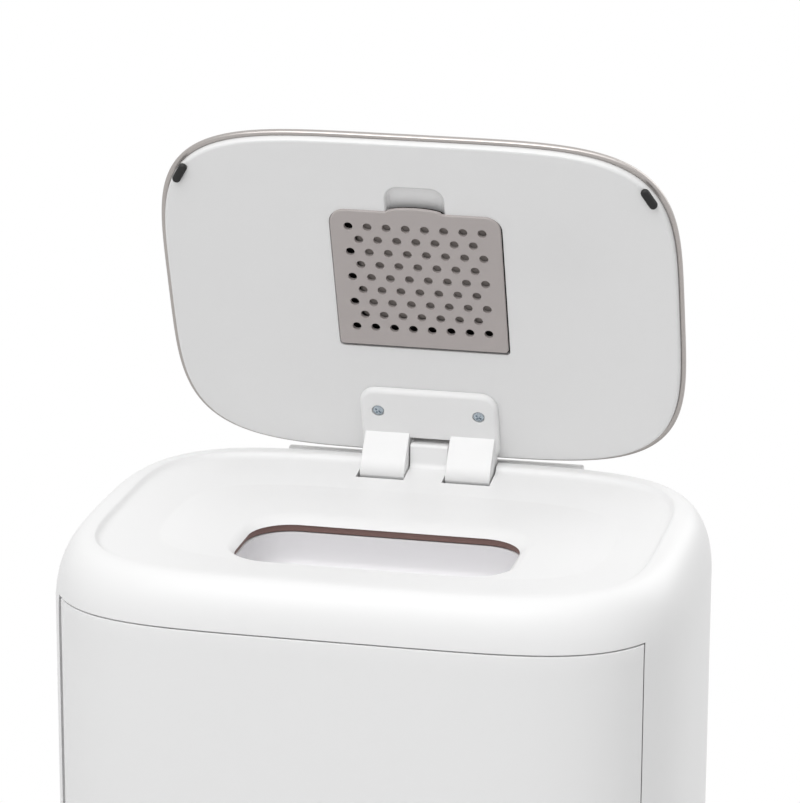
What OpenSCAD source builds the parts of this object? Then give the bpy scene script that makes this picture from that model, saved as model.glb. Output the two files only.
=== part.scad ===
// Nappy bin with a foot pedal, a hinged lid, a front door and a sprung odour barrier.
// Millimetres. The origin is the centre of the base on the floor, +Z is up and the door faces -Y.
// The parts are drawn with the lid open and the pedal pressed, as the bin stands when it is used.

/* [Body] */
// Half the width of the body
body_a = 160.5; // [150:0.5:175]
// Half the depth of the body
body_b = 120; // [116:0.5:128]
// Squareness of the body's sides
body_n = 5.1; // [4.2:0.1:5.6]
// Squareness of the body's front and back
body_m = 3.1; // [2.8:0.1:3.4]
// Height of the crest of the top
crest_z = 580; // [540:5:640]
// Thickness of the moulded walls
wall = 3; // [2.4:0.1:3.4]
// How far the rounded shoulder comes in at the top
dome_in = 16; // [12:0.5:18]
// How far the rounded shoulder reaches down
dome_down = 32; // [28:0.5:38]
// Height of the shell's lower edge above the floor
shell_z = 8; // [7:0.5:9]

/* [Deck] */
// Gap at the sides of the closed lid in its seat
seat_gap = 2.9; // [2:0.1:4]
// Half the depth of the lid's seat
seat_b = 98.4; // [97:0.1:100]
// Depth of the lid's seat below the crest
seat_drop = 3; // [2.5:0.1:3.4]
// Half the width of the flat floor of the deck
floor_a = 114; // [106:1:120]
// Half the depth of the flat floor of the deck
floor_b = 62; // [60:1:70]
// Depth of the floor of the deck below the crest
floor_drop = 7.5; // [7:0.1:8]
// Width of the waste opening
mouth_w = 140; // [120:1:150]
// Depth of the waste opening, front to back
mouth_d = 68; // [56:1:70]
// Corner radius of the waste opening
mouth_r = 22; // [14:1:26]
// Place of the middle of the waste opening
mouth_y = -24; // [-26:0.5:-20]

/* [Lid] */
// Half the width of the lid
lid_a = 136.8; // [130:0.1:138]
// Half the depth of the lid
lid_b = 98.7; // [96:0.1:100]
// Place of the lid's middle, front to back
lid_y = -1.4; // [-2:0.1:-1]
// Squareness of the lid's sides
lid_n = 4.75; // [4:0.05:5.5]
// Squareness of the lid's front and back
lid_m = 4.1; // [3.6:0.1:4.6]
// Thickness of the lid at its edge
lid_t = 11; // [10.5:0.1:13]
// Gap between the crest and the underside of the closed lid
lid_gap = 1; // [0.8:0.1:1.4]
// Wall of the lid's metal cover
cover_wall = 1.2; // [0.8:0.1:1.6]
// Width of the metal rim that shows around the liner
rim_w = 2.3; // [2:0.1:3]
// How far the metal rim stands back from the liner's face
rim_up = 3.5; // [3:0.1:4]
// Thickness of the liner's face
liner_t = 3; // [2.6:0.1:3.2]
// Angle of the open lid
open_angle = 70.8; // [60:0.2:74]

/* [Hinge] */
// Place of the hinge pin, front to back
hinge_y = 101.5; // [101:0.1:102]
// Depth of the hinge pin below the crest
hinge_drop = 7.5; // [7.2:0.1:7.8]
// Diameter of the hinge pin
pin_d = 6; // [5:0.2:6.4]
// Radial clearance of the hinge pin
pin_fit = 0.05; // [0.02:0.01:0.1]
// Half the width of the lid bracket
bracket_x = 37; // [34:0.5:39]
// Half the width of the fixed knuckle between the arms
knuckle_x = 10.2; // [8:0.1:11]
// Height of the fixed knuckle above the crest
knuckle_up = 9.6; // [8:0.1:9.8]
// Gap between an arm and what it passes
arm_gap = 0.7; // [0.5:0.05:1]
// Radius of the arms' rounded front
arm_r = 16.4; // [15.8:0.1:16.6]
// Thickness of the bracket's plate
plate_t = 4; // [3:0.1:4.2]
// Length of the bracket's plate
plate_len = 42.5; // [38:0.5:46]
// How far the bracket's plate stands out beside the arms
plate_side = 2; // [1.5:0.1:2.5]
// Rise of the push rod for each radian that the lid turns
cam_rise = 7; // [6.5:0.1:7.2]

/* [Filter] */
// Width of the perforated filter cover
filter_w = 89.4; // [84:0.2:96]
// Length of the perforated filter cover
filter_l = 83; // [78:0.5:86]
// Distance of the filter cover from the bracket's rear edge
filter_u = 69.5; // [62:0.5:72]
// Thickness of the filter cover
filter_t = 2; // [1.6:0.1:2.4]
// Distance between holes in a row
hole_pitch = 10; // [9:0.1:10.5]
// Distance between the rows of holes
row_pitch = 7.73; // [7:0.01:8.2]
// Diameter of the vent holes
hole_d = 4.7; // [4:0.1:5.2]
// Number of holes in the long rows
hole_count = 8; // [6:1:8]
// Number of rows of holes
row_count = 9; // [7:1:9]

/* [Door] */
// Distance from the door's side edge to the side of the body
door_side = 14.5; // [13:0.5:20]
// Distance of the door's top edge below the crest
door_drop = 24.8; // [22:0.2:30]
// Height of the door's lower edge
door_z = 60; // [56:1:72]
// Gap around the door
door_gap = 0.8; // [0.6:0.1:1.2]
// Diameter of the door's pivot pins
pivot_d = 3; // [2.6:0.2:3.4]
// Radius of the round edge that the door turns on
barrel_r = 3; // [2.8:0.1:3.2]

/* [Pedal] */
// Distance of the pedal's pivot behind the middle
pedal_y = 34.5; // [30:0.5:38]
// Height of the pedal's pivot
pedal_z = 22; // [21:0.5:24]
// Width of the pedal lever
lever_w = 40; // [32:1:46]
// Thickness of the pedal lever
lever_t = 4; // [3:0.25:5]
// Width of the pedal pad
pad_w = 66; // [56:1:76]
// Length of the pedal pad
pad_l = 38; // [30:1:42]
// Thickness of the pedal pad
pad_t = 6; // [5:0.5:8]
// Distance that the pad stands out of the body
pad_out = 42; // [38:1:48]

/* [Barrier] */
// Depth of the odour barrier's bowl
bowl_depth = 26; // [20:1:30]
// Wall of the odour barrier's bowl
bowl_wall = 2; // [1.6:0.1:2.4]
// Height of the rubber seal under the waste opening
seal_h = 4; // [3:0.1:5]
// Diameter of the odour barrier's shaft
shaft_d = 4; // [3:0.2:4.6]

/* [Pail] */
// Height of the lift-out pail
pail_h = 425; // [380:5:440]
// Wall of the lift-out pail
pail_wall = 2; // [1.6:0.1:2.6]

/* [Hidden] */
$fn = 48;
// Sides of the oval outlines
seg = 72;
// Steps of the rounded shoulder
dome_steps = 5;
// Gap between pieces that rest on each other
seat = 0.3;

hinge_z = crest_z - hinge_drop;
floor_z = crest_z - floor_drop;
deck_under = floor_z - wall;
// Underside of the lid, drawn closed
liner_z = crest_z + lid_gap;
lid_top = liner_z + lid_t;
rim_z = liner_z + rim_up;
// Rear edge of the bracket, from which the lid's fittings are measured
rear_line = hinge_y - 6;
// The lid's seat in the deck
seat_a = lid_a + seat_gap;
floor_y = 3;

// Base
foot_h = 4;
foot_d = 24;
foot_x = 108;
foot_y = 72;
tray_floor = 3;
tray_fit = 0.4;
base_boss_d = 9;
boss_x = body_a - 24.5;
boss_y = body_b - 28;
base_screw_d = 3;
base_screw_l = 20;
base_head_h = 2;
plate_z = 38;
plate_thick = 3;
skirt_top = plate_z - seat;

// Lid bracket and knuckle
screw_x = 27;
screw_u = 29.5;
screw_d = 4.4;
screw_head = 1.4;
knuckle_front = hinge_y - 5.1;
knuckle_back = hinge_y + 6;
knuckle_top = crest_z + knuckle_up;
slot_x = bracket_x + arm_gap;
arm_x = bracket_x - plate_side;
hub_r = 6.2;
slot_back = hinge_y + hinge_drop + lid_gap + arm_gap;
boss_w = 7;
boss_r = 6.5;
fold_u = 16;
slot_front = rear_line - fold_u + 0.4;
// The pocket in the lid that clears the fixed knuckle
pocket_x = knuckle_x + 1.3;
pocket_u = 13;
pocket_n = lid_t - cover_wall;

// Push rod and cam: at rest the lid is open and the rod is up
cam_drop = sqrt(arm_r * arm_r - cam_rise * cam_rise);
rod_travel = cam_rise * open_angle * PI / 180;
rod_y = hinge_y - cam_rise;
rod_top = hinge_z - (cam_drop - rod_travel) - seat;
rod_w = 12;
rod_t = 2.6;
head_h = 8;
head_d = 9;
channel_x = rod_w / 2 + 8;
channel_y = rod_y - head_d / 2 - 5;
hood_x = slot_x + boss_w + 3;
// Strip behind the lid's arms
strip_x = slot_x + boss_w + 35;
strip_t = 4.6;
strip_top = crest_z - 0.8;

// Pedal
rear_arm = rod_y - pedal_y;
pedal_turn = rod_travel / rear_arm * 180 / PI;
pedal_tilt = pedal_turn / 2;
pedal_pin_d = 5;
pedal_slot_x = lever_w / 2 + 4;
lug_w = 5;
lug_r = 6;
tip_up = 3;

// Barrier
mouth_front = mouth_y - mouth_d / 2;
mouth_back = mouth_y + mouth_d / 2;
seal_lip = 1;
seal_w = 5;
seal_top = deck_under;
seal_under = seal_top - seal_h;
bowl_top = seal_under - seat;
bowl_rim = 4;
bowl_out = seal_lip + bowl_rim;
shaft_y = mouth_front - 10;
shaft_z = bowl_top - 4.5;
bowl_ear_x = 40;
ear_w = 6;
ear_r = 4;
collar_w = 9;
collar_t = 4;
collar_lug_x = bowl_ear_x + ear_w + 0.6;

// Door
door_x = body_a - door_side;
door_top = crest_z - door_drop;
door_pivot_x = -(door_x - barrel_r);
door_pivot_y = -(body_b - wall) * side_share(door_pivot_x, body_a - wall);
pivot_len = 8;
pivot_in = 4;
latch_w = 9;
magnet_d = 8;
magnet_t = 4;
magnet_z = [150, 300, 450];

// Pail
pail_a = door_x - latch_w - 5;
pail_front = -(body_b - wall - 14);
pail_back = channel_y - 6;
pail_y = (pail_front + pail_back) / 2;
pail_b = (pail_back - pail_front) / 2;
pail_z = plate_z + plate_thick;
pail_top = pail_z + pail_h;
ring_out = 2.4;
ring_in = 7;
ring_down = 8;
ring_t = 2;

// Share of an oval's half depth that is left at x
function side_share(x, a) = pow(1 - pow(abs(x) / a, body_n), 1 / body_m);

// Points of an oval: |x/a|^n + |y/b|^m = 1
function oval(a, b, n, m, cy = 0, count = seg) = [
    for (i = [0 : count - 1])
        let (t = 360 * (i + 0.5) / count, c = cos(t), s = sin(t))
            [a * sign(c) * pow(abs(c), 2 / n), cy + b * sign(s) * pow(abs(s), 2 / m)]
];
function body_oval(inset) = oval(body_a - inset, body_b - inset, body_n, body_m);
function lid_oval(inset) = oval(lid_a - inset, lid_b - inset, lid_n, lid_m, lid_y);
function lift(points, z) = [for (p = points) [p[0], p[1], z]];
function turn(p, a) = [p[0] * cos(a) - p[1] * sin(a), p[0] * sin(a) + p[1] * cos(a)];

// Solid through a stack of rings that have the same number of points
module loft(rings) {
    n = len(rings[0]);
    last = (len(rings) - 1) * n;
    polyhedron(
        points = [for (r = rings) each r],
        faces = [
            [for (i = [0 : n - 1]) i],
            [for (i = [n - 1 : -1 : 0]) last + i],
            for (k = [0 : len(rings) - 2], i = [0 : n - 1])
                let (a = k * n + i, b = k * n + (i + 1) % n)
                    each [[a, a + n, b], [b, a + n, b + n]]
        ]
    );
}

// Rectangle with round corners, about its centre
module rounded(w, d, r) {
    square([w, d - 2 * r], center = true);
    square([w - 2 * r, d], center = true);
    for (x = [-1, 1], y = [-1, 1])
        translate([x * (w / 2 - r), y * (d / 2 - r)])
            circle(r);
}

module plate(w, d, r, z0, z1) {
    translate([0, 0, z0])
        linear_extrude(z1 - z0)
            rounded(w, d, r);
}

module across(x0, x1, r) {
    translate([x0, 0, 0])
        rotate([0, 90, 0])
            cylinder(h = x1 - x0, r = r);
}

module mirrored() {
    children();
    mirror([1, 0, 0])
        children();
}

// Takes what is drawn with the lid closed to the open lid
module opened() {
    translate([0, hinge_y, hinge_z])
        rotate([-open_angle, 0, 0])
            translate([0, -hinge_y, -hinge_z])
                children();
}

// Takes what is drawn with the pedal level to the pressed pedal
module pressed() {
    translate([0, pedal_y, pedal_z])
        rotate([pedal_tilt, 0, 0])
            translate([0, -pedal_y, -pedal_z])
                children();
}

// ---- Body ----

function shoulder(k, inset) =
    let (t = 90 * k / dome_steps)
        lift(body_oval(inset + (dome_in + (inset > 0 ? 1 : 0)) * (1 - cos(t))),
            crest_z - dome_down + (dome_down - inset) * sin(t));

module shell_outside() {
    loft([
        lift(body_oval(0), shell_z),
        for (k = [0 : dome_steps]) shoulder(k, 0),
        lift(oval(seat_a, seat_b, lid_n, lid_m), crest_z - 0.4),
        lift(oval(seat_a - 2, seat_b - 2, lid_n, lid_m), crest_z - seat_drop),
        lift(oval(floor_a, floor_b, lid_n, body_m, floor_y), floor_z)
    ]);
}

module shell_inside() {
    loft([
        lift(body_oval(wall), shell_z - 1),
        for (k = [0 : dome_steps]) shoulder(k, wall),
        lift(oval(seat_a - wall, seat_b - wall, lid_n, lid_m), crest_z - wall - 1),
        lift(oval(seat_a - 2 - wall, seat_b - 2 - wall, lid_n, lid_m), crest_z - seat_drop - wall),
        lift(oval(floor_a + 1, floor_b + 1, lid_n, body_m, floor_y), deck_under)
    ]);
}

module mouth(grow, z0, z1) {
    translate([0, mouth_y, 0])
        plate(mouth_w + 2 * grow, mouth_d + 2 * grow, mouth_r + grow, z0, z1);
}

// The fixed knuckle between the arms, seen from the side
module knuckle() {
    r = 4;
    rotate([90, 0, 90])
        translate([0, 0, -knuckle_x])
            linear_extrude(2 * knuckle_x)
                union() {
                    translate([knuckle_front, hinge_z - boss_r])
                        square([knuckle_back - knuckle_front, knuckle_top - r - hinge_z + boss_r]);
                    translate([knuckle_front + r, knuckle_top - r])
                        circle(r);
                    translate([knuckle_front + r, knuckle_top - r])
                        square([knuckle_back - knuckle_front - r, r]);
                }
}

module body_shell() color("white") {
    difference() {
        union() {
            difference() {
                shell_outside();
                shell_inside();
                // slots for the two arms
                mirrored()
                    translate([knuckle_x, slot_front, hinge_z - 30])
                        cube([slot_x - knuckle_x, slot_back - slot_front, 60]);
            }
            knuckle();
            // cheeks that carry the ends of the hinge pin
            mirrored()
                intersection() {
                    union() {
                        translate([0, hinge_y, hinge_z])
                            across(slot_x, slot_x + boss_w, boss_r);
                        translate([slot_x, hinge_y - boss_r, hinge_z])
                            cube([boss_w, 2 * boss_r, floor_drop]);
                    }
                    shell_outside();
                }
            // sockets for the door's pivots
            for (z = [door_z - door_gap - pivot_in - 2, door_top + door_gap])
                intersection() {
                    translate([door_pivot_x, door_pivot_y, z])
                        cylinder(h = pivot_in + 2, r = pivot_d / 2 + 3);
                    shell_outside();
                }
            // bosses for the base screws
            for (x = [-1, 1], y = [-1, 1])
                base_boss(x, y);
        }
        mouth(0, floor_z - 20, floor_z + 20);
        translate([0, hinge_y, hinge_z])
            across(-slot_x - boss_w + 1, slot_x + boss_w - 1, pin_d / 2 + pin_fit);
        door_cut();
        translate([door_pivot_x, door_pivot_y, door_z - door_gap - pivot_in - seat])
            cylinder(h = door_top - door_z + 2 * (door_gap + pivot_in + seat), r = pivot_d / 2 + pin_fit);
        pedal_window();
        for (x = [-1, 1], y = [-1, 1])
            translate([x * boss_x, y * boss_y, 0])
                cylinder(h = skirt_top, d = base_screw_d + 2 * pin_fit);
    }
}

module door_cut() {
    translate([-door_x - door_gap / 2, -body_b - 1, door_z - door_gap])
        cube([2 * door_x + door_gap, body_b + 6 - side_y(door_x, wall), door_top - door_z + 2 * door_gap]);
    translate([door_pivot_x, door_pivot_y, door_z - door_gap])
        cylinder(h = door_top - door_z + 2 * door_gap, r = barrel_r + 2.1);
}

module pedal_window() {
    translate([-pedal_slot_x, -body_b - 1, shell_z - 2])
        cube([2 * pedal_slot_x, 30, skirt_top - shell_z + 2]);
}

module base_boss(x, y) {
    translate([x * boss_x, y * boss_y, foot_h + tray_floor + seat])
        cylinder(h = 20, d = base_boss_d);
}

// ---- Base ----

module base_tray() color("gainsboro") {
    difference() {
        union() {
            translate([0, 0, foot_h])
                linear_extrude(tray_floor)
                    polygon(body_oval(1));
            translate([0, 0, foot_h])
                linear_extrude(skirt_top - foot_h)
                    difference() {
                        polygon(body_oval(wall + tray_fit));
                        polygon(body_oval(wall + tray_fit + 2.5));
                    }
            // lugs that carry the pedal's pin
            mirrored()
                translate([lever_w / 2 + 1, pedal_y, 0]) {
                    translate([0, -lug_r, foot_h])
                        cube([lug_w, 2 * lug_r, pedal_z - foot_h]);
                    translate([0, 0, pedal_z])
                        across(0, lug_w, lug_r);
                }
        }
        translate([0, pedal_y, pedal_z])
            across(-pedal_slot_x - lug_w, pedal_slot_x + lug_w, pedal_pin_d / 2 + pin_fit);
        translate([-pedal_slot_x, -body_b - 1, foot_h + tray_floor])
            cube([2 * pedal_slot_x, 40, skirt_top]);
        for (x = [-1, 1], y = [-1, 1])
            translate([x * boss_x, y * boss_y, 0])
                cylinder(h = 20, d = base_screw_d + 0.4);
        for (x = [-1, 1], y = [-1, 1])
            translate([x * foot_x, y * foot_y, foot_h - 1])
                cylinder(h = 2, d = foot_d + 0.6);
        for (x = [-1, 1], y = [-1, 1])
            translate([x * boss_x, y * boss_y, foot_h + tray_floor])
                cylinder(h = skirt_top, d = base_boss_d + 1);
    }
}

module floor_plate() color("gainsboro") {
    difference() {
        translate([0, 0, plate_z])
            linear_extrude(plate_thick)
                polygon(body_oval(wall + tray_fit));
        translate([0, rod_y, 0])
            plate(rod_w + 4, rod_t + 4, 2, plate_z - 1, plate_z + plate_thick + 1);
    }
}

module anti_slip_feet() color("dimgray") {
    for (x = [-1, 1], y = [-1, 1])
        translate([x * foot_x, y * foot_y, 0])
            cylinder(h = foot_h + 1 - seat, d = foot_d);
}

module base_screws() color("silver") {
    for (x = [-1, 1], y = [-1, 1])
        translate([x * boss_x, y * boss_y, foot_h - base_head_h]) {
            cylinder(h = base_head_h, d = 2 * base_screw_d);
            cylinder(h = base_screw_l, d = base_screw_d);
        }
}

// ---- Rear mechanism ----

module rear_channel() color("whitesmoke") {
    back = body_b - wall - 0.6;
    low = plate_z + plate_thick;
    hood_z = hinge_z - 31;
    hood_top = deck_under - 0.5;
    hood_y = slot_front - 3.5;
    hood_back = hinge_y + 7;
    difference() {
        union() {
            translate([-channel_x, channel_y, low])
                cube([2 * channel_x, back - channel_y, hood_z - low + 1]);
            translate([-hood_x, hood_y, hood_z])
                cube([2 * hood_x, hood_back - hood_y, hood_top - hood_z]);
        }
        translate([-channel_x + 2, channel_y + 2, low - 1])
            cube([2 * channel_x - 4, back, hood_z - low + 4]);
        translate([-hood_x + 2, hood_y + 2, hood_z + 2])
            cube([2 * hood_x - 4, back, hood_top]);
    }
}

module hinge_cover() color("white") {
    difference() {
        translate([-strip_x, slot_back + 0.4, hinge_z - 2])
            cube([2 * strip_x, strip_t, strip_top - hinge_z + 2]);
        shell_outside();
    }
}

module hinge_pin() color("silver") {
    translate([0, hinge_y, hinge_z])
        across(-slot_x - boss_w + 1.5, slot_x + boss_w - 1.5, pin_d / 2);
}

// ---- Waste opening ----

module chute_collar() color("whitesmoke") {
    inner = seal_lip + seal_w + seat;
    difference() {
        union() {
            difference() {
                mouth(inner + collar_w, seal_under, seal_top);
                mouth(inner, seal_under - 1, seal_top + 1);
            }
            mirrored()
                translate([collar_lug_x, shaft_y, shaft_z]) {
                    across(0, ear_w, ear_r);
                    translate([0, -ear_r, 0])
                        cube([ear_w, 2 * ear_r, seal_top - shaft_z]);
                }
        }
        translate([0, shaft_y, shaft_z])
            across(-collar_lug_x - ear_w - 1, collar_lug_x + ear_w + 1, shaft_d / 2 + pin_fit);
        collar_screw_places()
            translate([0, 0, -1])
                cylinder(h = seal_h + 2, d = base_screw_d + 2 * pin_fit);
    }
}

module collar_screw_places() {
    for (x = [-1, 1], y = [-1, 1])
        translate([x * (mouth_w / 2 + seal_lip + seal_w + collar_w / 2), mouth_y + y * mouth_d / 4, seal_under])
            children();
}

module collar_screws() color("silver") {
    collar_screw_places() {
        cylinder(h = seal_h - seat, d = base_screw_d);
        translate([0, 0, -2])
            cylinder(h = 2, d = 2 * base_screw_d);
    }
}

module rim_seal() color([0.45, 0.35, 0.33]) {
    difference() {
        mouth(seal_lip + seal_w, seal_under, seal_top);
        mouth(seal_lip, seal_under - 1, seal_top + 1);
    }
}

module barrier_shaft() color("silver") {
    translate([0, shaft_y, shaft_z])
        across(-collar_lug_x - ear_w, collar_lug_x + ear_w, shaft_d / 2);
}

module barrier_spring() color("silver") {
    translate([0, shaft_y, shaft_z])
        difference() {
            across(-12, 12, shaft_d / 2 + 1.6);
            across(-13, 13, shaft_d / 2 + 0.3);
        }
}

// Ring of the bowl: the opening's outline, grown or drawn in, at a height
function bowl_ring(grow, z) = [
    for (q = [0 : 3], k = [0 : 8])
        let (a = 90 * q + 90 * k / 8, sx = [1, -1, -1, 1][q], sy = [1, 1, -1, -1][q])
            [sx * (mouth_w / 2 - mouth_r) + (mouth_r + grow) * cos(a),
                mouth_y + sy * (mouth_d / 2 - mouth_r) + (mouth_r + grow) * sin(a), z]
];
bowl_steps = [1, 0.93, 0.8, 0.55, 0.25];
function bowl_in(s) = 17 * pow(s, 5);

module barrier_bowl() color("white") {
    difference() {
        union() {
            loft([
                for (s = bowl_steps)
                    bowl_ring(seal_lip + bowl_wall - bowl_in(s), bowl_top - s * bowl_depth),
                bowl_ring(seal_lip + bowl_wall, bowl_top - bowl_wall - 0.5),
                bowl_ring(bowl_out, bowl_top - bowl_wall),
                bowl_ring(bowl_out, bowl_top)
            ]);
            mirrored()
                translate([bowl_ear_x, shaft_y, shaft_z]) {
                    across(0, ear_w, ear_r);
                    translate([0, 0, -ear_r + 1])
                        cube([ear_w, 11, 2 * ear_r - 2]);
                }
        }
        loft([
            for (s = bowl_steps)
                bowl_ring(seal_lip - bowl_in(s), bowl_top - s * (bowl_depth - bowl_wall)),
            bowl_ring(seal_lip, bowl_top - bowl_wall),
            bowl_ring(seal_lip, bowl_top + 1)
        ]);
        translate([0, shaft_y, shaft_z])
            across(-bowl_ear_x - ear_w - 1, bowl_ear_x + ear_w + 1, shaft_d / 2 + pin_fit);
    }
}

// ---- Pail ----

module pail_ring(inset, z0, z1) {
    translate([0, 0, z0])
        linear_extrude(z1 - z0)
            polygon(oval(pail_a - inset, pail_b - inset, body_n, body_m, pail_y));
}

module inner_pail() color("lightgray") {
    difference() {
        union() {
            pail_ring(3, pail_z, pail_top);
            pail_ring(0, pail_top - 2, pail_top);
        }
        pail_ring(3 + pail_wall, pail_z + 2, pail_top + 1);
    }
}

module bag_ring() color("darkgray") {
    difference() {
        pail_ring(-ring_out, pail_top - ring_down, pail_top + ring_t);
        pail_ring(-seat, pail_top - ring_down - 1, pail_top);
        pail_ring(ring_in, pail_top - 1, pail_top + ring_t + 1);
    }
}

// ---- Door ----

// Region of the body's outline between two insets, in front of y
module band(inset0, inset1, x0, x1, z0, z1) {
    translate([0, 0, z0])
        linear_extrude(z1 - z0)
            intersection() {
                difference() {
                    polygon(body_oval(inset0));
                    polygon(body_oval(inset1));
                }
                translate([x0, -body_b - 1])
                    square([x1 - x0, body_b]);
            }
}

module door_panel() color("white") {
    difference() {
        union() {
            band(0, wall, door_pivot_x, door_x, door_z, door_top);
            translate([door_pivot_x, door_pivot_y, door_z])
                cylinder(h = door_top - door_z, r = barrel_r);
        }
        for (z = [door_z - 1, door_top - pivot_len - seat])
            translate([door_pivot_x, door_pivot_y, z])
                cylinder(h = pivot_len + seat + 1, d = pivot_d + 2 * pin_fit);
    }
}

module door_frame() color("whitesmoke") {
    difference() {
        band(wall, wall + 6, -door_x + 26, door_x - 26, door_z + 15, door_top - 18);
        translate([-door_x + 40, -body_b, door_z + 29])
            cube([2 * door_x - 80, body_b, door_top - door_z - 61]);
    }
}

module door_pivots() color("silver") {
    for (z = [door_z - door_gap - pivot_in, door_top - pivot_len])
        translate([door_pivot_x, door_pivot_y, z])
            cylinder(h = pivot_len + door_gap + pivot_in, d = pivot_d);
}

latch_y = -side_y(door_x, wall) + 0.6;
function side_y(x, inset) = (body_b - inset) * side_share(x, body_a - inset);

module latch_post() color("whitesmoke") {
    difference() {
        translate([0, 0, magnet_z[0] - 40])
            linear_extrude(magnet_z[2] - magnet_z[0] + 80)
                intersection() {
                    polygon(body_oval(wall));
                    translate([door_x - latch_w, latch_y])
                        square([30, 8]);
                }
        magnet_places()
            cylinder(h = magnet_t + 1, d = magnet_d + 2 * pin_fit);
    }
}

module magnet_places() {
    for (z = magnet_z)
        translate([door_x - 4, latch_y + magnet_t, z])
            rotate([90, 0, 0])
                children();
}

module door_magnets() color("dimgray") {
    magnet_places()
        cylinder(h = magnet_t, d = magnet_d);
}

module door_strikers() color("silver") {
    for (z = magnet_z)
        translate([0, 0, z - 8])
            linear_extrude(16)
                intersection() {
                    polygon(body_oval(wall));
                    translate([door_x - latch_w, -body_b])
                        square([latch_w - 1, body_b + latch_y - 0.4]);
                }
}

// ---- Pedal ----

module pedal_pin() color("silver") {
    translate([0, pedal_y, pedal_z])
        across(-lever_w / 2 - 1 - lug_w, lever_w / 2 + 1 + lug_w, pedal_pin_d / 2);
}

pad_front = -body_b - pad_out;

module pedal_lever() color("silver") pressed() {
    difference() {
        union() {
            translate([-lever_w / 2, pad_front + 4, pedal_z - lever_t / 2])
                cube([lever_w, rod_y - pad_front - 4, lever_t]);
            translate([0, pedal_y, pedal_z])
                across(-lever_w / 2, lever_w / 2, lug_r);
            translate([0, rod_y, pedal_z])
                across(-lever_w / 2, lever_w / 2, tip_up);
        }
        translate([0, pedal_y, pedal_z])
            across(-lever_w, lever_w, pedal_pin_d / 2 + pin_fit);
    }
}

module pedal_pad() color("gainsboro") pressed() {
    difference() {
        translate([0, pad_front + pad_l / 2, 0])
            plate(pad_w, pad_l, 12, pedal_z - lever_t / 2 - 1, pedal_z + lever_t / 2 + pad_t);
        translate([-lever_w / 2 - 0.1, pad_front + 3.9, pedal_z - lever_t / 2 - 2])
            cube([lever_w + 0.2, pad_l, lever_t + 2.1]);
        translate([0, pad_front + pad_l / 2, 0])
            plate(pad_w - 12, pad_l - 12, 7, pedal_z + lever_t / 2 + pad_t - 1, pedal_z + 20);
    }
}

module pedal_tread() color("dimgray") pressed() {
    top = pedal_z + lever_t / 2 + pad_t;
    translate([0, pad_front + pad_l / 2, 0]) {
        plate(pad_w - 12.4, pad_l - 12.4, 6.8, top - 1, top + 0.6);
        for (k = [-2 : 2])
            translate([0, k * 4.6, 0])
                plate(pad_w - 22, 2, 0.9, top, top + 1.4);
    }
}

foot_rise = rear_arm * sin(pedal_tilt) + tip_up + seat;

module push_rod() color("silver") {
    translate([0, rod_y, 0])
        plate(rod_w, rod_t, 1, pedal_z + foot_rise, rod_top - head_h + 3);
}

module rod_head() color("dimgray") {
    difference() {
        translate([0, rod_y, 0])
            plate(2 * arm_x, head_d, 1.5, rod_top - head_h, rod_top);
        translate([0, rod_y, 0])
            plate(rod_w + 0.1, rod_t + 0.1, 1, rod_top - head_h - 1, rod_top - head_h + 3.05);
        translate([-knuckle_x - 1, rod_y - head_d, rod_top - 1.2])
            cube([2 * knuckle_x + 2, 2 * head_d, 20]);
    }
}

// ---- Lid, drawn closed and then opened ----

module lid_outside() {
    side = lid_top - rim_z;
    loft([
        lift(lid_oval(0.6), rim_z),
        lift(lid_oval(0), rim_z + 1),
        lift(lid_oval(0), rim_z + side * 0.35),
        lift(lid_oval(0.9), rim_z + side * 0.62),
        lift(lid_oval(2.4), rim_z + side * 0.85),
        lift(lid_oval(5), lid_top),
        lift(lid_oval(45), lid_top + 1.2)
    ]);
}

module lid_inside() {
    side = lid_top - rim_z;
    loft([
        lift(lid_oval(cover_wall), rim_z + cover_wall),
        lift(lid_oval(cover_wall), rim_z + side * 0.35),
        lift(lid_oval(0.9 + cover_wall), rim_z + side * 0.58),
        lift(lid_oval(5 + cover_wall), lid_top - cover_wall),
        lift(lid_oval(45), lid_top - cover_wall)
    ]);
}

// The space in the lid that clears the fixed knuckle
module knuckle_pocket() {
    translate([-pocket_x, rear_line - pocket_u, liner_z - plate_t - 1])
        cube([2 * pocket_x, pocket_u + 12, pocket_n + plate_t + 1]);
}

module lid_cover() color([0.66, 0.64, 0.63]) opened() {
    difference() {
        lid_outside();
        lid_inside();
        translate([0, 0, rim_z - 1])
            linear_extrude(cover_wall + 2)
                polygon(lid_oval(rim_w));
        knuckle_pocket();
    }
}

filter_back = rear_line - filter_u;
filter_mid = filter_back - filter_l / 2;
filter_depth = filter_t * 0.4 + seat;
filter_axis_z = liner_z - filter_t * 0.1;
tub_depth = 7;
// The pad is smaller than its tub, and lies to the front right
pad_side = 18;
pad_end = 21;
pad_x = 3;
pad_y = -5.5;
flange_t = 2;
// Bumpers
bumper_l = 12;
bumper_w = 5;
bumper_out = 2.6;
bumper_in = 2;
bumper_side = 15.1;
bumper_front = 26.3;

module filter_outline(grow) {
    r = 8;
    w = filter_w + 2 * grow;
    l = filter_l + 2 * grow;
    translate([0, filter_mid]) {
        difference() {
            square([w, l], center = true);
            for (x = [-1, 1])
                translate([x * w / 2, -l / 2])
                    square(2 * r, center = true);
        }
        for (x = [-1, 1])
            translate([x * (w / 2 - r), -l / 2 + r])
                circle(r);
    }
}

// Places of the two bumpers near the lid's front corners
module bumper_places() {
    mirrored()
        translate([lid_a - bumper_side, lid_y - lid_b + bumper_front, 0])
            rotate(45)
                children();
}

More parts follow.
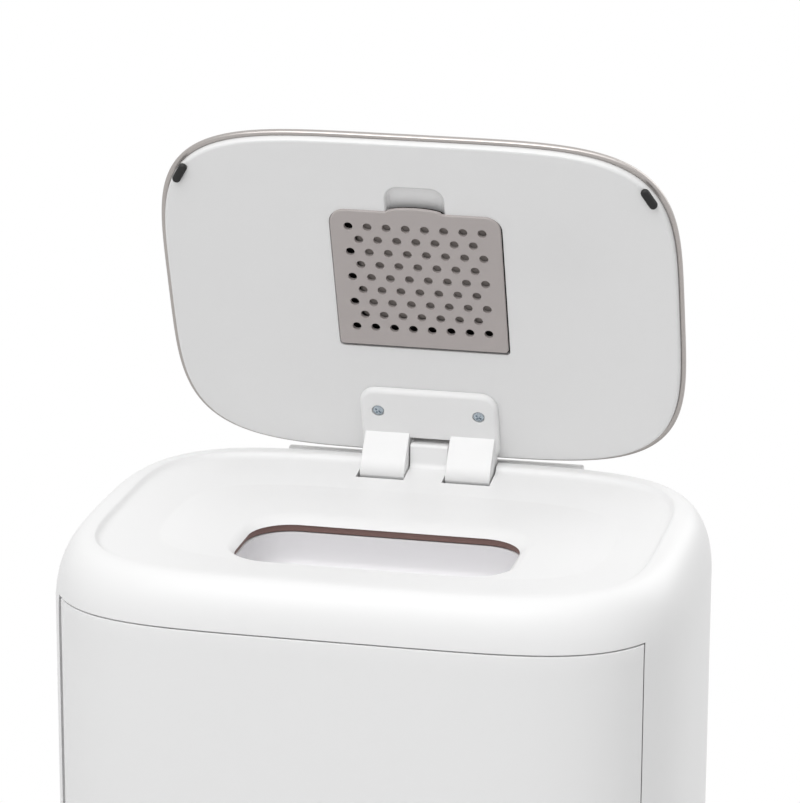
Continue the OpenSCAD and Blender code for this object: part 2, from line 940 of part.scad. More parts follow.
module lid_liner() color("white") opened() {
    edge = rim_w + seat;
    flange_z = rim_z + cover_wall + 0.2;
    difference() {
        union() {
            difference() {
                union() {
                    loft([
                        lift(lid_oval(edge + 1.4), liner_z),
                        lift(lid_oval(edge + 0.5), liner_z + 0.7),
                        lift(lid_oval(edge), liner_z + rim_up - 0.4),
                        lift(lid_oval(edge), flange_z + 0.5)
                    ]);
                    translate([0, 0, flange_z])
                        linear_extrude(flange_t)
                            polygon(lid_oval(cover_wall + 0.6));
                }
                translate([0, 0, liner_z + liner_t])
                    linear_extrude(lid_t)
                        polygon(lid_oval(edge + 6));
            }
            translate([0, filter_mid, 0])
                plate(filter_w - 6, filter_l - 6, 5, liner_z + 2, liner_z + tub_depth + 1.5);
        }
        // shallow seat for the filter cover and its finger notch
        translate([0, 0, liner_z - 1])
            linear_extrude(filter_depth + 1)
                filter_outline(0.4);
        translate([0, filter_mid - filter_l / 2 - 5, 0])
            plate(30, 24, 6, liner_z - 1, liner_z + 2.6);
        // tub for the filter pad
        translate([0, filter_mid, 0])
            plate(filter_w - 9, filter_l - 9, 4, liner_z - 1, liner_z + tub_depth);
        knuckle_pocket();
        bracket_screw_places()
            cylinder(h = 12, d = 2.6, center = true);
        translate([0, 0, liner_z - 1])
            linear_extrude(bumper_in + 1)
                bumper_places()
                    rounded(bumper_l + 0.1, bumper_w + 0.1, bumper_w / 2);
    }
}

module bracket_screw_places() {
    for (x = [-1, 1])
        translate([x * screw_x, rear_line - screw_u, liner_z])
            children();
}

// Points of the flank that lifts the push rod, seen from the side
flank = [
    for (k = [0 : 12])
        let (a = open_angle * k / 12)
            turn([-cam_rise, -(cam_drop - cam_rise * a * PI / 180)], a)
];
// Direction from the pin to the fold between the plate and the arm
fold = [rear_line - fold_u - hinge_y, lid_gap + hinge_drop - plate_t];
fold_angle = atan2(fold[1], fold[0]) + acos(arm_r / norm(fold));
front_end = atan2(flank[0][1], flank[0][0]) + 360;

module arm_profile() {
    polygon([
        [fold[0], lid_gap + hinge_drop],
        fold,
        for (k = [0 : 12])
            let (a = fold_angle + (front_end - fold_angle) * k / 12)
                [arm_r * cos(a), arm_r * sin(a)],
        for (k = [1 : 12]) flank[k],
        for (a = [-55 : 12 : 89]) [hub_r * cos(a), hub_r * sin(a)],
        [0, lid_gap + hinge_drop]
    ]);
}

module hinge_bracket() color("white") opened() {
    difference() {
        union() {
            difference() {
                translate([0, rear_line - plate_len / 2, 0])
                    plate(2 * bracket_x, plate_len, 9, liner_z - plate_t, liner_z);
                translate([-pocket_x, rear_line - pocket_u, liner_z - plate_t - 1])
                    cube([2 * pocket_x, pocket_u + 1, plate_t + 2]);
            }
            mirrored()
                translate([knuckle_x + arm_gap, hinge_y, hinge_z])
                    rotate([90, 0, 90])
                        linear_extrude(arm_x - knuckle_x - arm_gap)
                            arm_profile();
        }
        translate([0, hinge_y, hinge_z])
            across(-slot_x, slot_x, pin_d / 2 + pin_fit);
        bracket_screw_places() {
            cylinder(h = 20, d = 2.6, center = true);
            translate([0, 0, -plate_t - 1])
                cylinder(h = 1 + screw_head, d = screw_d + 0.4);
        }
    }
}

module bracket_screws() color("silver") opened() {
    bracket_screw_places() {
        translate([0, 0, -plate_t])
            cylinder(h = 6.5, d = 2.5);
        translate([0, 0, -plate_t])
            cylinder(h = screw_head, d = screw_d);
    }
}

module lid_bumpers() color([0.08, 0.08, 0.08]) opened() {
    translate([0, 0, liner_z - bumper_out])
        linear_extrude(bumper_out + bumper_in)
            bumper_places()
                rounded(bumper_l, bumper_w, bumper_w / 2 - 0.1);
}

module filter_pad() color([0.3, 0.28, 0.27]) opened() {
    translate([pad_x, filter_mid + pad_y, 0])
        plate(filter_w - pad_side, filter_l - pad_end, 4, liner_z + 1.3, liner_z + tub_depth - seat);
}

module filter_cover() color([0.6, 0.57, 0.56]) opened() {
    difference() {
        union() {
            translate([0, 0, liner_z + filter_t * 0.4 - filter_t])
                linear_extrude(filter_t)
                    difference() {
                        union() {
                            filter_outline(0);
                            translate([0, filter_mid - filter_l / 2 + 16])
                                circle(19);
                        }
                        translate([-filter_w, filter_back - filter_t / 2])
                            square([2 * filter_w, 20]);
                    }
            translate([0, filter_back - filter_t / 2, filter_axis_z])
                across(-filter_w / 2, filter_w / 2, filter_t / 2);
        }
        for (row = [0 : row_count - 1])
            let (n = hole_count - row % 2)
                for (i = [0 : n - 1])
                    translate([(i - (n - 1) / 2) * hole_pitch, filter_back - 11.5 - row * row_pitch, liner_z])
                        cylinder(h = 12, d = hole_d, center = true, $fn = 24);
    }
}

body_shell();
base_tray();
floor_plate();
anti_slip_feet();
base_screws();
rear_channel();
hinge_cover();
hinge_pin();
chute_collar();
collar_screws();
rim_seal();
barrier_shaft();
barrier_spring();
barrier_bowl();
inner_pail();
bag_ring();
latch_post();
door_magnets();
door_panel();
door_frame();
door_strikers();
door_pivots();
pedal_pin();
pedal_lever();
pedal_pad();
pedal_tread();
push_rod();
rod_head();
lid_cover();
lid_liner();
hinge_bracket();
bracket_screws();
lid_bumpers();
filter_pad();
filter_cover();
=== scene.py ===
"""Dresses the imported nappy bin: smooth moulded shells, satin metal lid, rubber, felt, studio and camera."""

import logging
import math
from collections.abc import Callable, Sequence
from dataclasses import dataclass
from enum import Enum
from typing import Any

import bmesh
import bpy
import numpy as np
from mathutils import Matrix, Vector


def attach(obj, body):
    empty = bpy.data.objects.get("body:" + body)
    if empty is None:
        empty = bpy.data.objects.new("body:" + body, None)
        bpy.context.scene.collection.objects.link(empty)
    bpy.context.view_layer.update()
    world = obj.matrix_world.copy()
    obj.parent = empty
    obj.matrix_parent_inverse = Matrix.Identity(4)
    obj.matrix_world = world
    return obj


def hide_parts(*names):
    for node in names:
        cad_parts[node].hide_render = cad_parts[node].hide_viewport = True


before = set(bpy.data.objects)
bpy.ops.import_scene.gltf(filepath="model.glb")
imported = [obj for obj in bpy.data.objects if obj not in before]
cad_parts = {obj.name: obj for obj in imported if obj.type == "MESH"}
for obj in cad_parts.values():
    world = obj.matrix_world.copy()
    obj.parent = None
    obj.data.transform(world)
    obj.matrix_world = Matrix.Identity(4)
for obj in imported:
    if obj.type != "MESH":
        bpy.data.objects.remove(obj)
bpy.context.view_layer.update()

log = logging.getLogger("nappy_bin")

MM = 0.001
Piece = bpy.types.Object
Tree = bpy.types.NodeTree
Socket = bpy.types.NodeSocket
Ring = np.ndarray
Point2 = tuple[float, float]
Colour = tuple[float, float, float, float]


# ---------------------------------------------------------------- sizes


@dataclass(frozen=True)
class BinSizes:
    """The bin's main sizes in millimetres, as the CAD has them."""

    body_a: float = 160.5
    body_b: float = 120.0
    body_n: float = 5.1
    body_m: float = 3.1
    crest: float = 580.0
    wall: float = 3.0
    dome_in: float = 16.0
    dome_down: float = 32.0
    shell_z: float = 8.0
    seat_a: float = 139.7
    seat_b: float = 98.4
    floor_a: float = 114.0
    floor_b: float = 62.0
    floor_y: float = 3.0
    floor_drop: float = 7.5
    lid_a: float = 136.8
    lid_b: float = 98.7
    lid_y: float = -1.4
    lid_n: float = 4.75
    lid_m: float = 4.1
    liner_z: float = 581.0
    rim_up: float = 3.5
    rim_w: float = 2.3
    open_angle: float = 70.8
    hinge_y: float = 101.5
    hinge_z: float = 572.5
    bore_r: float = 3.05
    tray_top: float = 37.7
    pedal_way: float = 24.0

    def body_oval(self, inset: float, z: float) -> Ring:
        """Returns the body's outline drawn in by inset, at a height."""
        return oval(self.body_a - inset, self.body_b - inset, self.body_n, self.body_m, z)

    def seat_oval(self, inset: float, z: float) -> Ring:
        """Returns the outline of the lid's seat drawn in by inset, at a height."""
        return oval(self.seat_a - inset, self.seat_b - inset, self.lid_n, self.lid_m, z)

    def floor_oval(self, inset: float, z: float) -> Ring:
        """Returns the outline of the deck's floor drawn in by inset, at a height."""
        return oval(self.floor_a - inset, self.floor_b - inset, self.lid_n, self.body_m, z, self.floor_y)

    def lid_oval(self, inset: float, z: float) -> Ring:
        """Returns the lid's outline drawn in by inset, at a height of the closed lid."""
        return oval(self.lid_a - inset, self.lid_b - inset, self.lid_n, self.lid_m, z, self.lid_y)

    def shoulder(self, z: float) -> float:
        """Returns how far the wall has drawn in at a height, inside the rounded shoulder."""
        rise = min(1.0, max(0.0, (z - self.crest + self.dome_down) / self.dome_down))
        return self.dome_in * (1 - math.sqrt(1 - rise * rise))

    @property
    def rear_line(self) -> float:
        """Returns the rear edge of the lid's bracket, from which the lid's fittings are measured."""
        return self.hinge_y - 6

    def hinge_bore(self, half_length: float) -> Piece:
        """Returns the tool for the hole round the hinge pin."""
        return rod((-half_length, self.hinge_y, self.hinge_z), (half_length, self.hinge_y, self.hinge_z), self.bore_r)


# ---------------------------------------------------------------- rings and outlines


def spread(x: np.ndarray, y: np.ndarray, count: int) -> tuple[np.ndarray, np.ndarray]:
    """Returns count points spread evenly along a line of points."""
    along = np.concatenate([[0], np.cumsum(np.hypot(np.diff(x), np.diff(y)))])
    at = np.linspace(0, along[-1], count)
    return np.interp(at, along, x), np.interp(at, along, y)


def oval(a: float, b: float, n: float, m: float, z: float, cy: float = 0.0, count: int = 256) -> Ring:
    """Returns a ring on |x/a|^n + |y/b|^m = 1, with points spread evenly along each quarter.

    Args:
        a: half width.
        b: half depth.
        n: power across.
        m: power front to back.
        z: height of the ring.
        cy: middle of the ring, front to back.
        count: points round the ring, a multiple of four.

    Returns:
        An array of count points, counter-clockwise from +X.
    """
    t = np.linspace(0, math.pi / 2, 900)
    x, y = a * np.cos(t) ** (2 / n), b * np.sin(t) ** (2 / m)
    x[-1] = y[0] = 0.0
    qx, qy = spread(x, y, count // 4 + 1)
    px = np.concatenate([qx[:-1], -qx[:0:-1], -qx[:-1], qx[:0:-1]])
    py = np.concatenate([qy[:-1], qy[:0:-1], -qy[:-1], -qy[:0:-1]])
    return np.stack([px, py + cy, np.full(len(px), z)], 1)


def rounded(
    w: float, d: float, r: float | Sequence[float], z: float, cx: float = 0.0, cy: float = 0.0, steps: int = 10
) -> Ring:
    """Returns a ring round a rectangle with round corners.

    Args:
        w: width.
        d: depth.
        r: corner radius, or one for each corner from +X +Y on.
        z: height of the ring.
        cx: middle in X.
        cy: middle in Y.
        steps: steps of each corner.

    Returns:
        The ring's points, counter-clockwise.
    """
    points = []
    for corner, wanted in enumerate(np.broadcast_to(r, 4)):
        q = min(wanted, w / 2 - 1e-3, d / 2 - 1e-3)
        sx, sy = (1, -1, -1, 1)[corner], (1, 1, -1, -1)[corner]
        for a in np.radians(90 * corner + np.linspace(0, 90, steps + 1)):
            points.append((cx + sx * (w / 2 - q) + q * math.cos(a), cy + sy * (d / 2 - q) + q * math.sin(a), z))
    return np.array(points)


def block(
    w: float, d: float, r: float, cx: float = 0.0, cy: float = 0.0, steps: int = 10, least_r: float = 0.0
) -> Callable[[float, float], Ring]:
    """Returns what draws a round-cornered rectangle, in by an inset and at a height."""
    return lambda inset, z: rounded(w - 2 * inset, d - 2 * inset, max(least_r, r - inset), z, cx, cy, steps)


def circle(r: float, z: float, cx: float = 0.0, cy: float = 0.0, count: int = 48) -> Ring:
    """Returns a round ring at a height."""
    a = np.linspace(0, 2 * math.pi, count, endpoint=False)
    return np.stack([cx + r * np.cos(a), cy + r * np.sin(a), np.full(count, z)], 1)


def blend(first: Ring, second: Ring, share: float, z: float) -> Ring:
    """Returns the ring that lies a share of the way from one ring to another, set at a height."""
    ring = first + (second - first) * share
    ring[:, 2] = z
    return ring


def arc(centre: Point2, r: float, start: float, stop: float, count: int) -> list[Point2]:
    """Returns points on an arc between two angles in degrees."""
    x, y = centre
    return [(x + r * math.cos(a), y + r * math.sin(a)) for a in np.radians(np.linspace(start, stop, count))]


def drawn_in(outline: Sequence[Point2], d: float) -> list[Point2]:
    """Returns a counter-clockwise outline with each point moved inwards by d along its normal."""
    p = np.array(outline, float)
    before, after = p - np.roll(p, 1, 0), np.roll(p, -1, 0) - p
    before /= np.linalg.norm(before, axis=1)[:, None]
    after /= np.linalg.norm(after, axis=1)[:, None]
    normal = np.stack([-(before + after)[:, 1], (before + after)[:, 0]], 1)
    normal /= np.maximum(np.linalg.norm(normal, axis=1), 1e-9)[:, None]
    side = np.stack([-before[:, 1], before[:, 0]], 1)
    reach = d / np.maximum(0.4, np.sum(normal * side, 1))
    return [tuple(q) for q in p + normal * reach[:, None]]


# ---------------------------------------------------------------- meshes


def new_object(name: str, vertices: np.ndarray | Sequence, faces: Sequence[Sequence[int]]) -> Piece:
    """Makes an object at the origin from points in millimetres and faces turned outwards."""
    mesh = bpy.data.meshes.new(name)
    mesh.from_pydata((np.asarray(vertices, float) * MM).tolist(), [], [list(f) for f in faces])
    made = bpy.data.objects.new(name, mesh)
    bpy.context.scene.collection.objects.link(made)
    return made


def loft(name: str, rings: Sequence[Ring], closed: bool = False) -> Piece:
    """Makes a solid through a stack of rings that have the same number of points.

    Args:
        name: the object's name.
        rings: rings from the bottom up, or once round where closed.
        closed: joins the last ring to the first in place of two caps.

    Returns:
        The object.
    """
    n, last = len(rings[0]), len(rings) - 1
    faces: list[list[int]] = []
    for k in range(len(rings) if closed else last):
        low, high = k * n, ((k + 1) % len(rings)) * n
        faces += [[low + i, low + (i + 1) % n, high + (i + 1) % n, high + i] for i in range(n)]
    if not closed:
        faces += [list(range(n - 1, -1, -1)), [last * n + i for i in range(n)]]
    return new_object(name, np.concatenate(rings), faces)


def stack(
    name: str, ring: Callable[..., Ring], rows: Sequence[Sequence[float]], base: float = 0.0, closed: bool = False
) -> Piece:
    """Makes a solid from rows of values for ring(), each with its height above the base as its last value."""
    return loft(name, [ring(*row[:-1], base + row[-1]) for row in rows], closed)


def prism(name: str, outline: Sequence[Point2], ends: Sequence[float], r: float = 0.0) -> Piece:
    """Makes a bar along X from points (y, z), counter-clockwise seen from +X, with r as its ends' rounding."""
    x0, x1 = sorted(ends)
    levels = [(x0, 0.0), (x1, 0.0)]
    if r:
        levels = [(x0, r), (x0 + 0.3 * r, 0.3 * r), (x0 + r, 0.0), (x1 - r, 0.0), (x1 - 0.3 * r, 0.3 * r), (x1, r)]
    return loft(name, [np.array([(x, y, z) for y, z in drawn_in(outline, inset)]) for x, inset in levels])


def both_sides(outline: Sequence[Point2], near: float, far: float, r: float = 0.0) -> list[Piece]:
    """Returns two bars of one outline, mirrored in X."""
    return [prism("bar", outline, (side * near, side * far), r) for side in (1, -1)]


def box(low: Sequence[float], high: Sequence[float]) -> Piece:
    """Makes a plain block, used only to cut other pieces."""
    (x0, y0, z0), (x1, y1, z1) = low, high
    flat = [(x0, y0), (x1, y0), (x1, y1), (x0, y1)]
    return loft("tool", [np.array([(x, y, z) for x, y in flat]) for z in (z0, z1)])


def rod(start: Sequence[float], end: Sequence[float], r: float) -> Piece:
    """Makes a round bar between two points, used only to cut other pieces."""
    a, b = Vector(start), Vector(end)
    turn = (b - a).to_track_quat("Z", "Y").to_matrix()
    return loft("tool", [np.array([base + turn @ Vector(p) for p in circle(r, 0.0)]) for base in (a, b)])


def turned(degrees: float, axis: str) -> Matrix:
    """Returns a turn about an axis."""
    return Matrix.Rotation(math.radians(degrees), 4, axis)


def moved(piece: Piece, x: float, y: float, z: float, first: Matrix = Matrix.Identity(4)) -> Piece:
    """Takes a piece through a first turn, then moves it by millimetres, and returns it."""
    piece.data.transform(Matrix.Translation((x * MM, y * MM, z * MM)) @ first)
    return piece


def swung(piece: Piece, y: float, z: float, degrees: float) -> Piece:
    """Turns a piece about a pin along X and returns it."""
    pin = Matrix.Translation((0, y * MM, z * MM))
    piece.data.transform(pin @ turned(degrees, "X") @ pin.inverted())
    return piece


def bake(piece: Piece) -> Piece:
    """Replaces a piece's mesh by what its modifiers make of it, and removes them."""
    graph = bpy.context.evaluated_depsgraph_get()
    graph.update()
    mesh = bpy.data.meshes.new_from_object(piece.evaluated_get(graph))
    piece.modifiers.clear()
    old, piece.data = piece.data, mesh
    bpy.data.meshes.remove(old)
    return piece


def carve(piece: Piece, *tools: Piece, how: str = "DIFFERENCE") -> Piece:
    """Cuts closed meshes from a piece, or joins them to it where how is UNION, and removes them."""
    for tool in tools:
        step = piece.modifiers.new("carve", "BOOLEAN")
        step.object, step.operation, step.solver = tool, how, "EXACT"
        bake(piece)
        bpy.data.meshes.remove(tool.data)
    return piece


def joined(piece: Piece, *others: Piece) -> Piece:
    """Puts the meshes of the others into the piece, and removes the others."""
    mesh = bmesh.new()
    for source in (piece, *others):
        mesh.from_mesh(source.data)
    mesh.to_mesh(piece.data)
    mesh.free()
    for other in others:
        bpy.data.meshes.remove(other.data)
    return piece


def filled(piece: Piece, shares: Sequence[float]) -> Piece:
    """Closes a piece's flat openings with rings drawn in towards the Z axis.

    Args:
        piece: the piece, with every opening round the axis.
        shares: size of each new ring as a share of the opening, from the largest down to 0.

    Returns:
        The piece, with its faces turned outwards.
    """
    mesh = bmesh.new()
    mesh.from_mesh(piece.data)
    last = 1.0
    for share in shares:
        bmesh.ops.extrude_edge_only(mesh, edges=[e for e in mesh.edges if e.is_boundary])
        for vertex in {v for e in mesh.edges if e.is_boundary for v in e.verts}:
            vertex.co.x *= share / last
            vertex.co.y *= share / last
        last = share
    bmesh.ops.remove_doubles(mesh, verts=mesh.verts, dist=1e-7)
    bmesh.ops.recalc_face_normals(mesh, faces=mesh.faces)
    mesh.to_mesh(piece.data)
    mesh.free()
    return piece


def soften(piece: Piece, width: float, segments: int) -> Piece:
    """Rounds a piece's edges that turn by more than 60 degrees, over a width in millimetres."""
    step = piece.modifiers.new("soften", "BEVEL")
    step.width, step.segments, step.limit_method = width * MM, segments, "ANGLE"
    step.angle_limit, step.use_clamp_overlap, step.harden_normals = math.radians(60), True, False
    return bake(piece)


def smooth(piece: Piece, angle: float) -> Piece:
    """Shades a piece smoothly, with flat faces kept flat and edges sharper than the angle kept crisp."""
    mesh = bmesh.new()
    mesh.from_mesh(piece.data)
    bmesh.ops.remove_doubles(mesh, verts=mesh.verts, dist=1e-6)
    bmesh.ops.dissolve_degenerate(mesh, edges=mesh.edges, dist=1e-7)
    mesh.to_mesh(piece.data)
    mesh.free()
    piece.data.shade_smooth()
    piece.data.set_sharp_from_angle(angle=math.radians(angle))
    step = piece.modifiers.new("weigh", "WEIGHTED_NORMAL")
    step.keep_sharp, step.weight = True, 60
    return bake(piece)


# ---------------------------------------------------------------- node trees


SOCKET_KINDS = {float: "NodeSocketFloat", int: "NodeSocketInt", tuple: "NodeSocketVector"}
ORIGIN = (0.0, 0.0, 0.0)


class Graph:
    """Adds and links the nodes of one tree."""

    def __init__(self, tree: Tree) -> None:
        """Keeps a shader or geometry node tree and empties it."""
        self.tree = tree
        tree.nodes.clear()

    def fill(self, node: bpy.types.Node, inputs: dict[str | int, Any]) -> bpy.types.Node:
        """Gives each named or numbered input of a node its value, or links an output socket to it."""
        for key, value in inputs.items():
            if isinstance(value, Socket):
                self.tree.links.new(value, node.inputs[key])
            else:
                node.inputs[key].default_value = value
        return node

    def add(self, kind: str, inputs: dict[str | int, Any] | None = None, **settings: Any) -> bpy.types.Node:
        """Adds a node with its own settings and with values or links for its inputs, and returns it."""
        node = self.tree.nodes.new(kind)
        for key, value in settings.items():
            setattr(node, key, value)
        return self.fill(node, inputs or {})

    def math(self, operation: str, *values: Any) -> Socket:
        """Adds a Math node and returns its result."""
        return self.add("ShaderNodeMath", dict(enumerate(values)), operation=operation).outputs[0]

    def noise(self, vector: Socket, scale: Any, detail: float, roughness: float = 0.5) -> bpy.types.Node:
        """Adds a Noise Texture node and returns it."""
        values = {"Vector": vector, "Scale": scale, "Detail": detail, "Roughness": roughness}
        return self.add("ShaderNodeTexNoise", values)

    def ranged(self, *values: Any, **settings: Any) -> Socket:
        """Adds a Map Range node from (value, from low, from high, to low, to high) and returns its result."""
        return self.add("ShaderNodeMapRange", dict(enumerate(values)), **settings).outputs[0]

    def mix(self, share: Socket, low: Any, high: Any) -> Socket:
        """Adds a mix of two colours and returns its result."""
        return self.add("ShaderNodeMix", {0: share, 6: low, 7: high}, data_type="RGBA").outputs[2]

    def bump(self, height: Socket, strength: float, distance: float) -> Socket:
        """Adds a Bump node and returns its normal."""
        return self.add("ShaderNodeBump", {"Height": height, "Strength": strength, "Distance": distance}).outputs[0]


Drawing = Callable[[Graph, Any], Any]


def new_tree(name: str, kind: str, inputs: dict[str, Any], outputs: dict[str, str], draw: Drawing) -> Tree:
    """Returns a node group, which is made once.

    Args:
        name: the group's name.
        kind: the type of tree.
        inputs: the first value of each named input, or its socket type.
        outputs: the socket type of each named output.
        draw: adds the group's nodes and returns what goes to its outputs, in order.

    Returns:
        The group.
    """
    known = bpy.data.node_groups.get(name)
    if known:
        return known
    tree = bpy.data.node_groups.new(name, kind)
    for label, value in inputs.items():
        socket_type = value if isinstance(value, str) else SOCKET_KINDS[type(value)]
        made = tree.interface.new_socket(label, in_out="INPUT", socket_type=socket_type)
        if socket_type is not value:
            made.default_value = value
    for label, socket_type in outputs.items():
        tree.interface.new_socket(label, in_out="OUTPUT", socket_type=socket_type)
    g = Graph(tree)
    g.add("NodeGroupOutput", dict(enumerate(draw(g, g.add("NodeGroupInput").outputs))))
    return tree


def floats(*names: str) -> dict[str, str]:
    """Returns outputs that are plain numbers."""
    return dict.fromkeys(names, "NodeSocketFloat")


def geometry_tree(name: str, inputs: dict[str, Any], draw: Drawing) -> Tree:
    """Returns a tree that draws its geometry, realizes its instances and sets its material."""

    def ended(g: Graph, given: Any) -> list[Socket]:
        """Adds the nodes that every tree ends in."""
        real = g.add("GeometryNodeRealizeInstances", {0: draw(g, given)})
        dressed = g.add("GeometryNodeSetMaterial", {"Geometry": real.outputs[0], "Material": given["Material"]})
        return [dressed.outputs[0]]

    every = {"Geometry": "NodeSocketGeometry", **inputs, "Material": "NodeSocketMaterial"}
    return new_tree(name, "GeometryNodeTree", every, {"Geometry": "NodeSocketGeometry"}, ended)


def run_tree(piece: Piece, name: str, draw: Drawing, look: "Looks", values: dict[str, Any]) -> Piece:
    """Runs a geometry tree on a piece, and keeps the result as a plain mesh.

    Args:
        piece: the piece, which the tree gets as its geometry.
        name: the tree's name. The tree is made once, with its first user's values.
        draw: adds the tree's own nodes.
        look: the finish of what the tree makes.
        values: a value for each named input.

    Returns:
        The piece.
    """
    tree = geometry_tree(name, values, draw)
    step = piece.modifiers.new(name, "NODES")
    step.node_group = tree
    given = {**values, "Material": look.material()}
    for item in tree.interface.items_tree:
        if item.item_type == "SOCKET" and item.in_out == "INPUT" and item.name in given:
            step[item.identifier] = given[item.name]
    return bake(piece)


def draw_copies(g: Graph, given: Any) -> Socket:
    """Sets copies of a piece on a grid, for screws, feet and ribs."""
    size = {0: given["Spread X"], 1: given["Spread Y"], 2: given["Count X"], 3: given["Count Y"]}
    grid = g.add("GeometryNodeMeshGrid", size)
    return g.add("GeometryNodeInstanceOnPoints", {"Points": grid.outputs[0], "Instance": given["Geometry"]}).outputs[0]


def copied(piece: Piece, look: "Looks", spans: Point2, counts: tuple[int, int]) -> Piece:
    """Sets copies of a piece on a grid that spans a width and a depth in millimetres, and returns them."""
    values = {"Spread X": spans[0] * MM, "Spread Y": spans[1] * MM, "Count X": counts[0], "Count Y": counts[1]}
    return run_tree(piece, "copies_on_grid", draw_copies, look, values)


def draw_holes(g: Graph, given: Any) -> Socket:
    """Drills staggered rows of holes through a plate."""
    total = g.math("MULTIPLY", given["Rows"], given["Holes"])
    line = g.add("GeometryNodeMeshLine", {"Count": total, "Offset": ORIGIN})
    index = g.add("GeometryNodeInputIndex").outputs[0]
    row = g.math("FLOOR", g.math("DIVIDE", index, given["Holes"]))
    column = g.math("MODULO", index, given["Holes"])
    odd = g.math("MODULO", row, 2.0)
    middle = g.math("MULTIPLY", g.math("SUBTRACT", given["Holes"], 1.0), 0.5)
    along = g.math("ADD", g.math("SUBTRACT", column, middle), g.math("MULTIPLY", odd, 0.5))
    x = g.math("MULTIPLY", along, given["Pitch"])
    y = g.math("MULTIPLY", g.math("MULTIPLY", row, given["Row pitch"]), -1.0)
    at = g.add("ShaderNodeCombineXYZ", {0: x, 1: y})
    place = g.add("ShaderNodeVectorMath", {0: at.outputs[0], 1: given["First row"]}, operation="ADD")
    points = g.add("GeometryNodeSetPosition", {"Geometry": line.outputs[0], "Position": place.outputs[0]})
    spare = g.math("MULTIPLY", odd, g.math("GREATER_THAN", column, g.math("SUBTRACT", given["Holes"], 1.5)))
    kept = g.add("GeometryNodeDeleteGeometry", {"Geometry": points.outputs[0], "Selection": spare}, domain="POINT")
    drill = g.add("GeometryNodeMeshCylinder", {"Vertices": 28, "Radius": given["Radius"], "Depth": 0.02})
    drills = g.add("GeometryNodeInstanceOnPoints", {"Points": kept.outputs[0], "Instance": drill.outputs[0]})
    cut = g.add("GeometryNodeMeshBoolean", {0: given["Geometry"], 1: drills.outputs[0]}, operation="DIFFERENCE")
    return cut.outputs[0]


def draw_coil(g: Graph, given: Any) -> Socket:
    """Winds a wire into a coil along Z."""
    ends = {"Start Radius": given["Radius"], "End Radius": given["Radius"]}
    size = {"Resolution": 28, "Rotations": given["Turns"], "Height": given["Length"], **ends}
    path = g.add("GeometryNodeCurveSpiral", size).outputs[0]
    section = g.add("GeometryNodeCurvePrimitiveCircle", {"Resolution": 10, "Radius": given["Wire"]}).outputs[0]
    return g.add("GeometryNodeCurveToMesh", {"Curve": path, "Profile Curve": section, "Fill Caps": True}).outputs[0]


def draw_sweep(g: Graph, given: Any) -> Socket:
    """Sweeps a profile, given as points (inset, 0, height), round a squared oval."""
    rows = g.math("ADD", given["Segments"], 1.0)
    grid = g.add("GeometryNodeMeshGrid", {0: 1.0, 1: 1.0, 2: rows, 3: given["Levels"]})
    index = g.add("GeometryNodeInputIndex").outputs[0]
    step = g.math("FLOOR", g.math("DIVIDE", index, given["Levels"]))
    level = g.math("MODULO", index, given["Levels"])
    where = g.add("GeometryNodeInputPosition").outputs[0]
    wanted = {"Geometry": given["Geometry"], "Index": level}
    sample = g.add("GeometryNodeSampleIndex", wanted, data_type="FLOAT_VECTOR", domain="POINT")
    value = next(s for s in sample.inputs if s.name == "Value" and s.enabled)
    g.tree.links.new(where, value)
    found = next(s for s in sample.outputs if s.enabled)
    part = g.add("ShaderNodeSeparateXYZ", {0: found}).outputs
    around = g.math("MODULO", step, given["Segments"])
    turn = g.math("MULTIPLY", g.math("DIVIDE", around, given["Segments"]), 2 * math.pi)

    def reach(half: Socket, wave: str, power: Socket) -> Socket:
        """Returns one coordinate of the squared oval."""
        swing = g.math(wave, turn)
        size = g.math("POWER", g.math("ABSOLUTE", swing), g.math("DIVIDE", 2.0, power))
        return g.math("MULTIPLY", g.math("MULTIPLY", size, g.math("SIGN", swing)), g.math("SUBTRACT", half, part[0]))

    x = reach(given["Half width"], "COSINE", given["Side power"])
    y = reach(given["Half depth"], "SINE", given["Front power"])
    at = g.add("ShaderNodeCombineXYZ", {0: x, 1: y, 2: part[2]}).outputs[0]
    placed = g.add("GeometryNodeSetPosition", {"Geometry": grid.outputs[0], "Position": at}).outputs[0]
    return g.add("GeometryNodeMergeByDistance", {"Geometry": placed, "Distance": 1e-6}).outputs[0]


# ---------------------------------------------------------------- finishes


def srgb(red: int, green: int, blue: int) -> Colour:
    """Returns a colour written in 0-255 screen values as the shader's linear one."""
    parts = [c / 255 for c in (red, green, blue)]
    line = [c / 12.92 if c <= 0.04045 else ((c + 0.055) / 1.055) ** 2.4 for c in parts]
    return (line[0], line[1], line[2], 1.0)


def darker(colour: Colour, share: float) -> Colour:
    """Returns a colour times a share."""
    return (colour[0] * share, colour[1] * share, colour[2] * share, 1.0)


def grain_group() -> Tree:
    """Returns the shared group of fine moulded or cast grain: a height and a broad mask."""

    def draw(g: Graph, given: Any) -> list[Socket]:
        """Mixes noise and pits."""
        fine = g.noise(given["Vector"], given["Grain scale"], 3.0, 0.6).outputs[0]
        pits = g.add("ShaderNodeTexVoronoi", {"Vector": given["Vector"], "Scale": given["Grain scale"]}).outputs[0]
        cloud = g.noise(given["Vector"], given["Cloud scale"], 4.0).outputs[0]
        return [g.math("ADD", g.math("MULTIPLY", fine, 0.65), g.math("MULTIPLY", pits, 0.35)), cloud]

    inputs = {"Vector": ORIGIN, "Grain scale": 900.0, "Cloud scale": 9.0}
    return new_tree("surface_grain", "ShaderNodeTree", inputs, floats("Height", "Cloud"), draw)


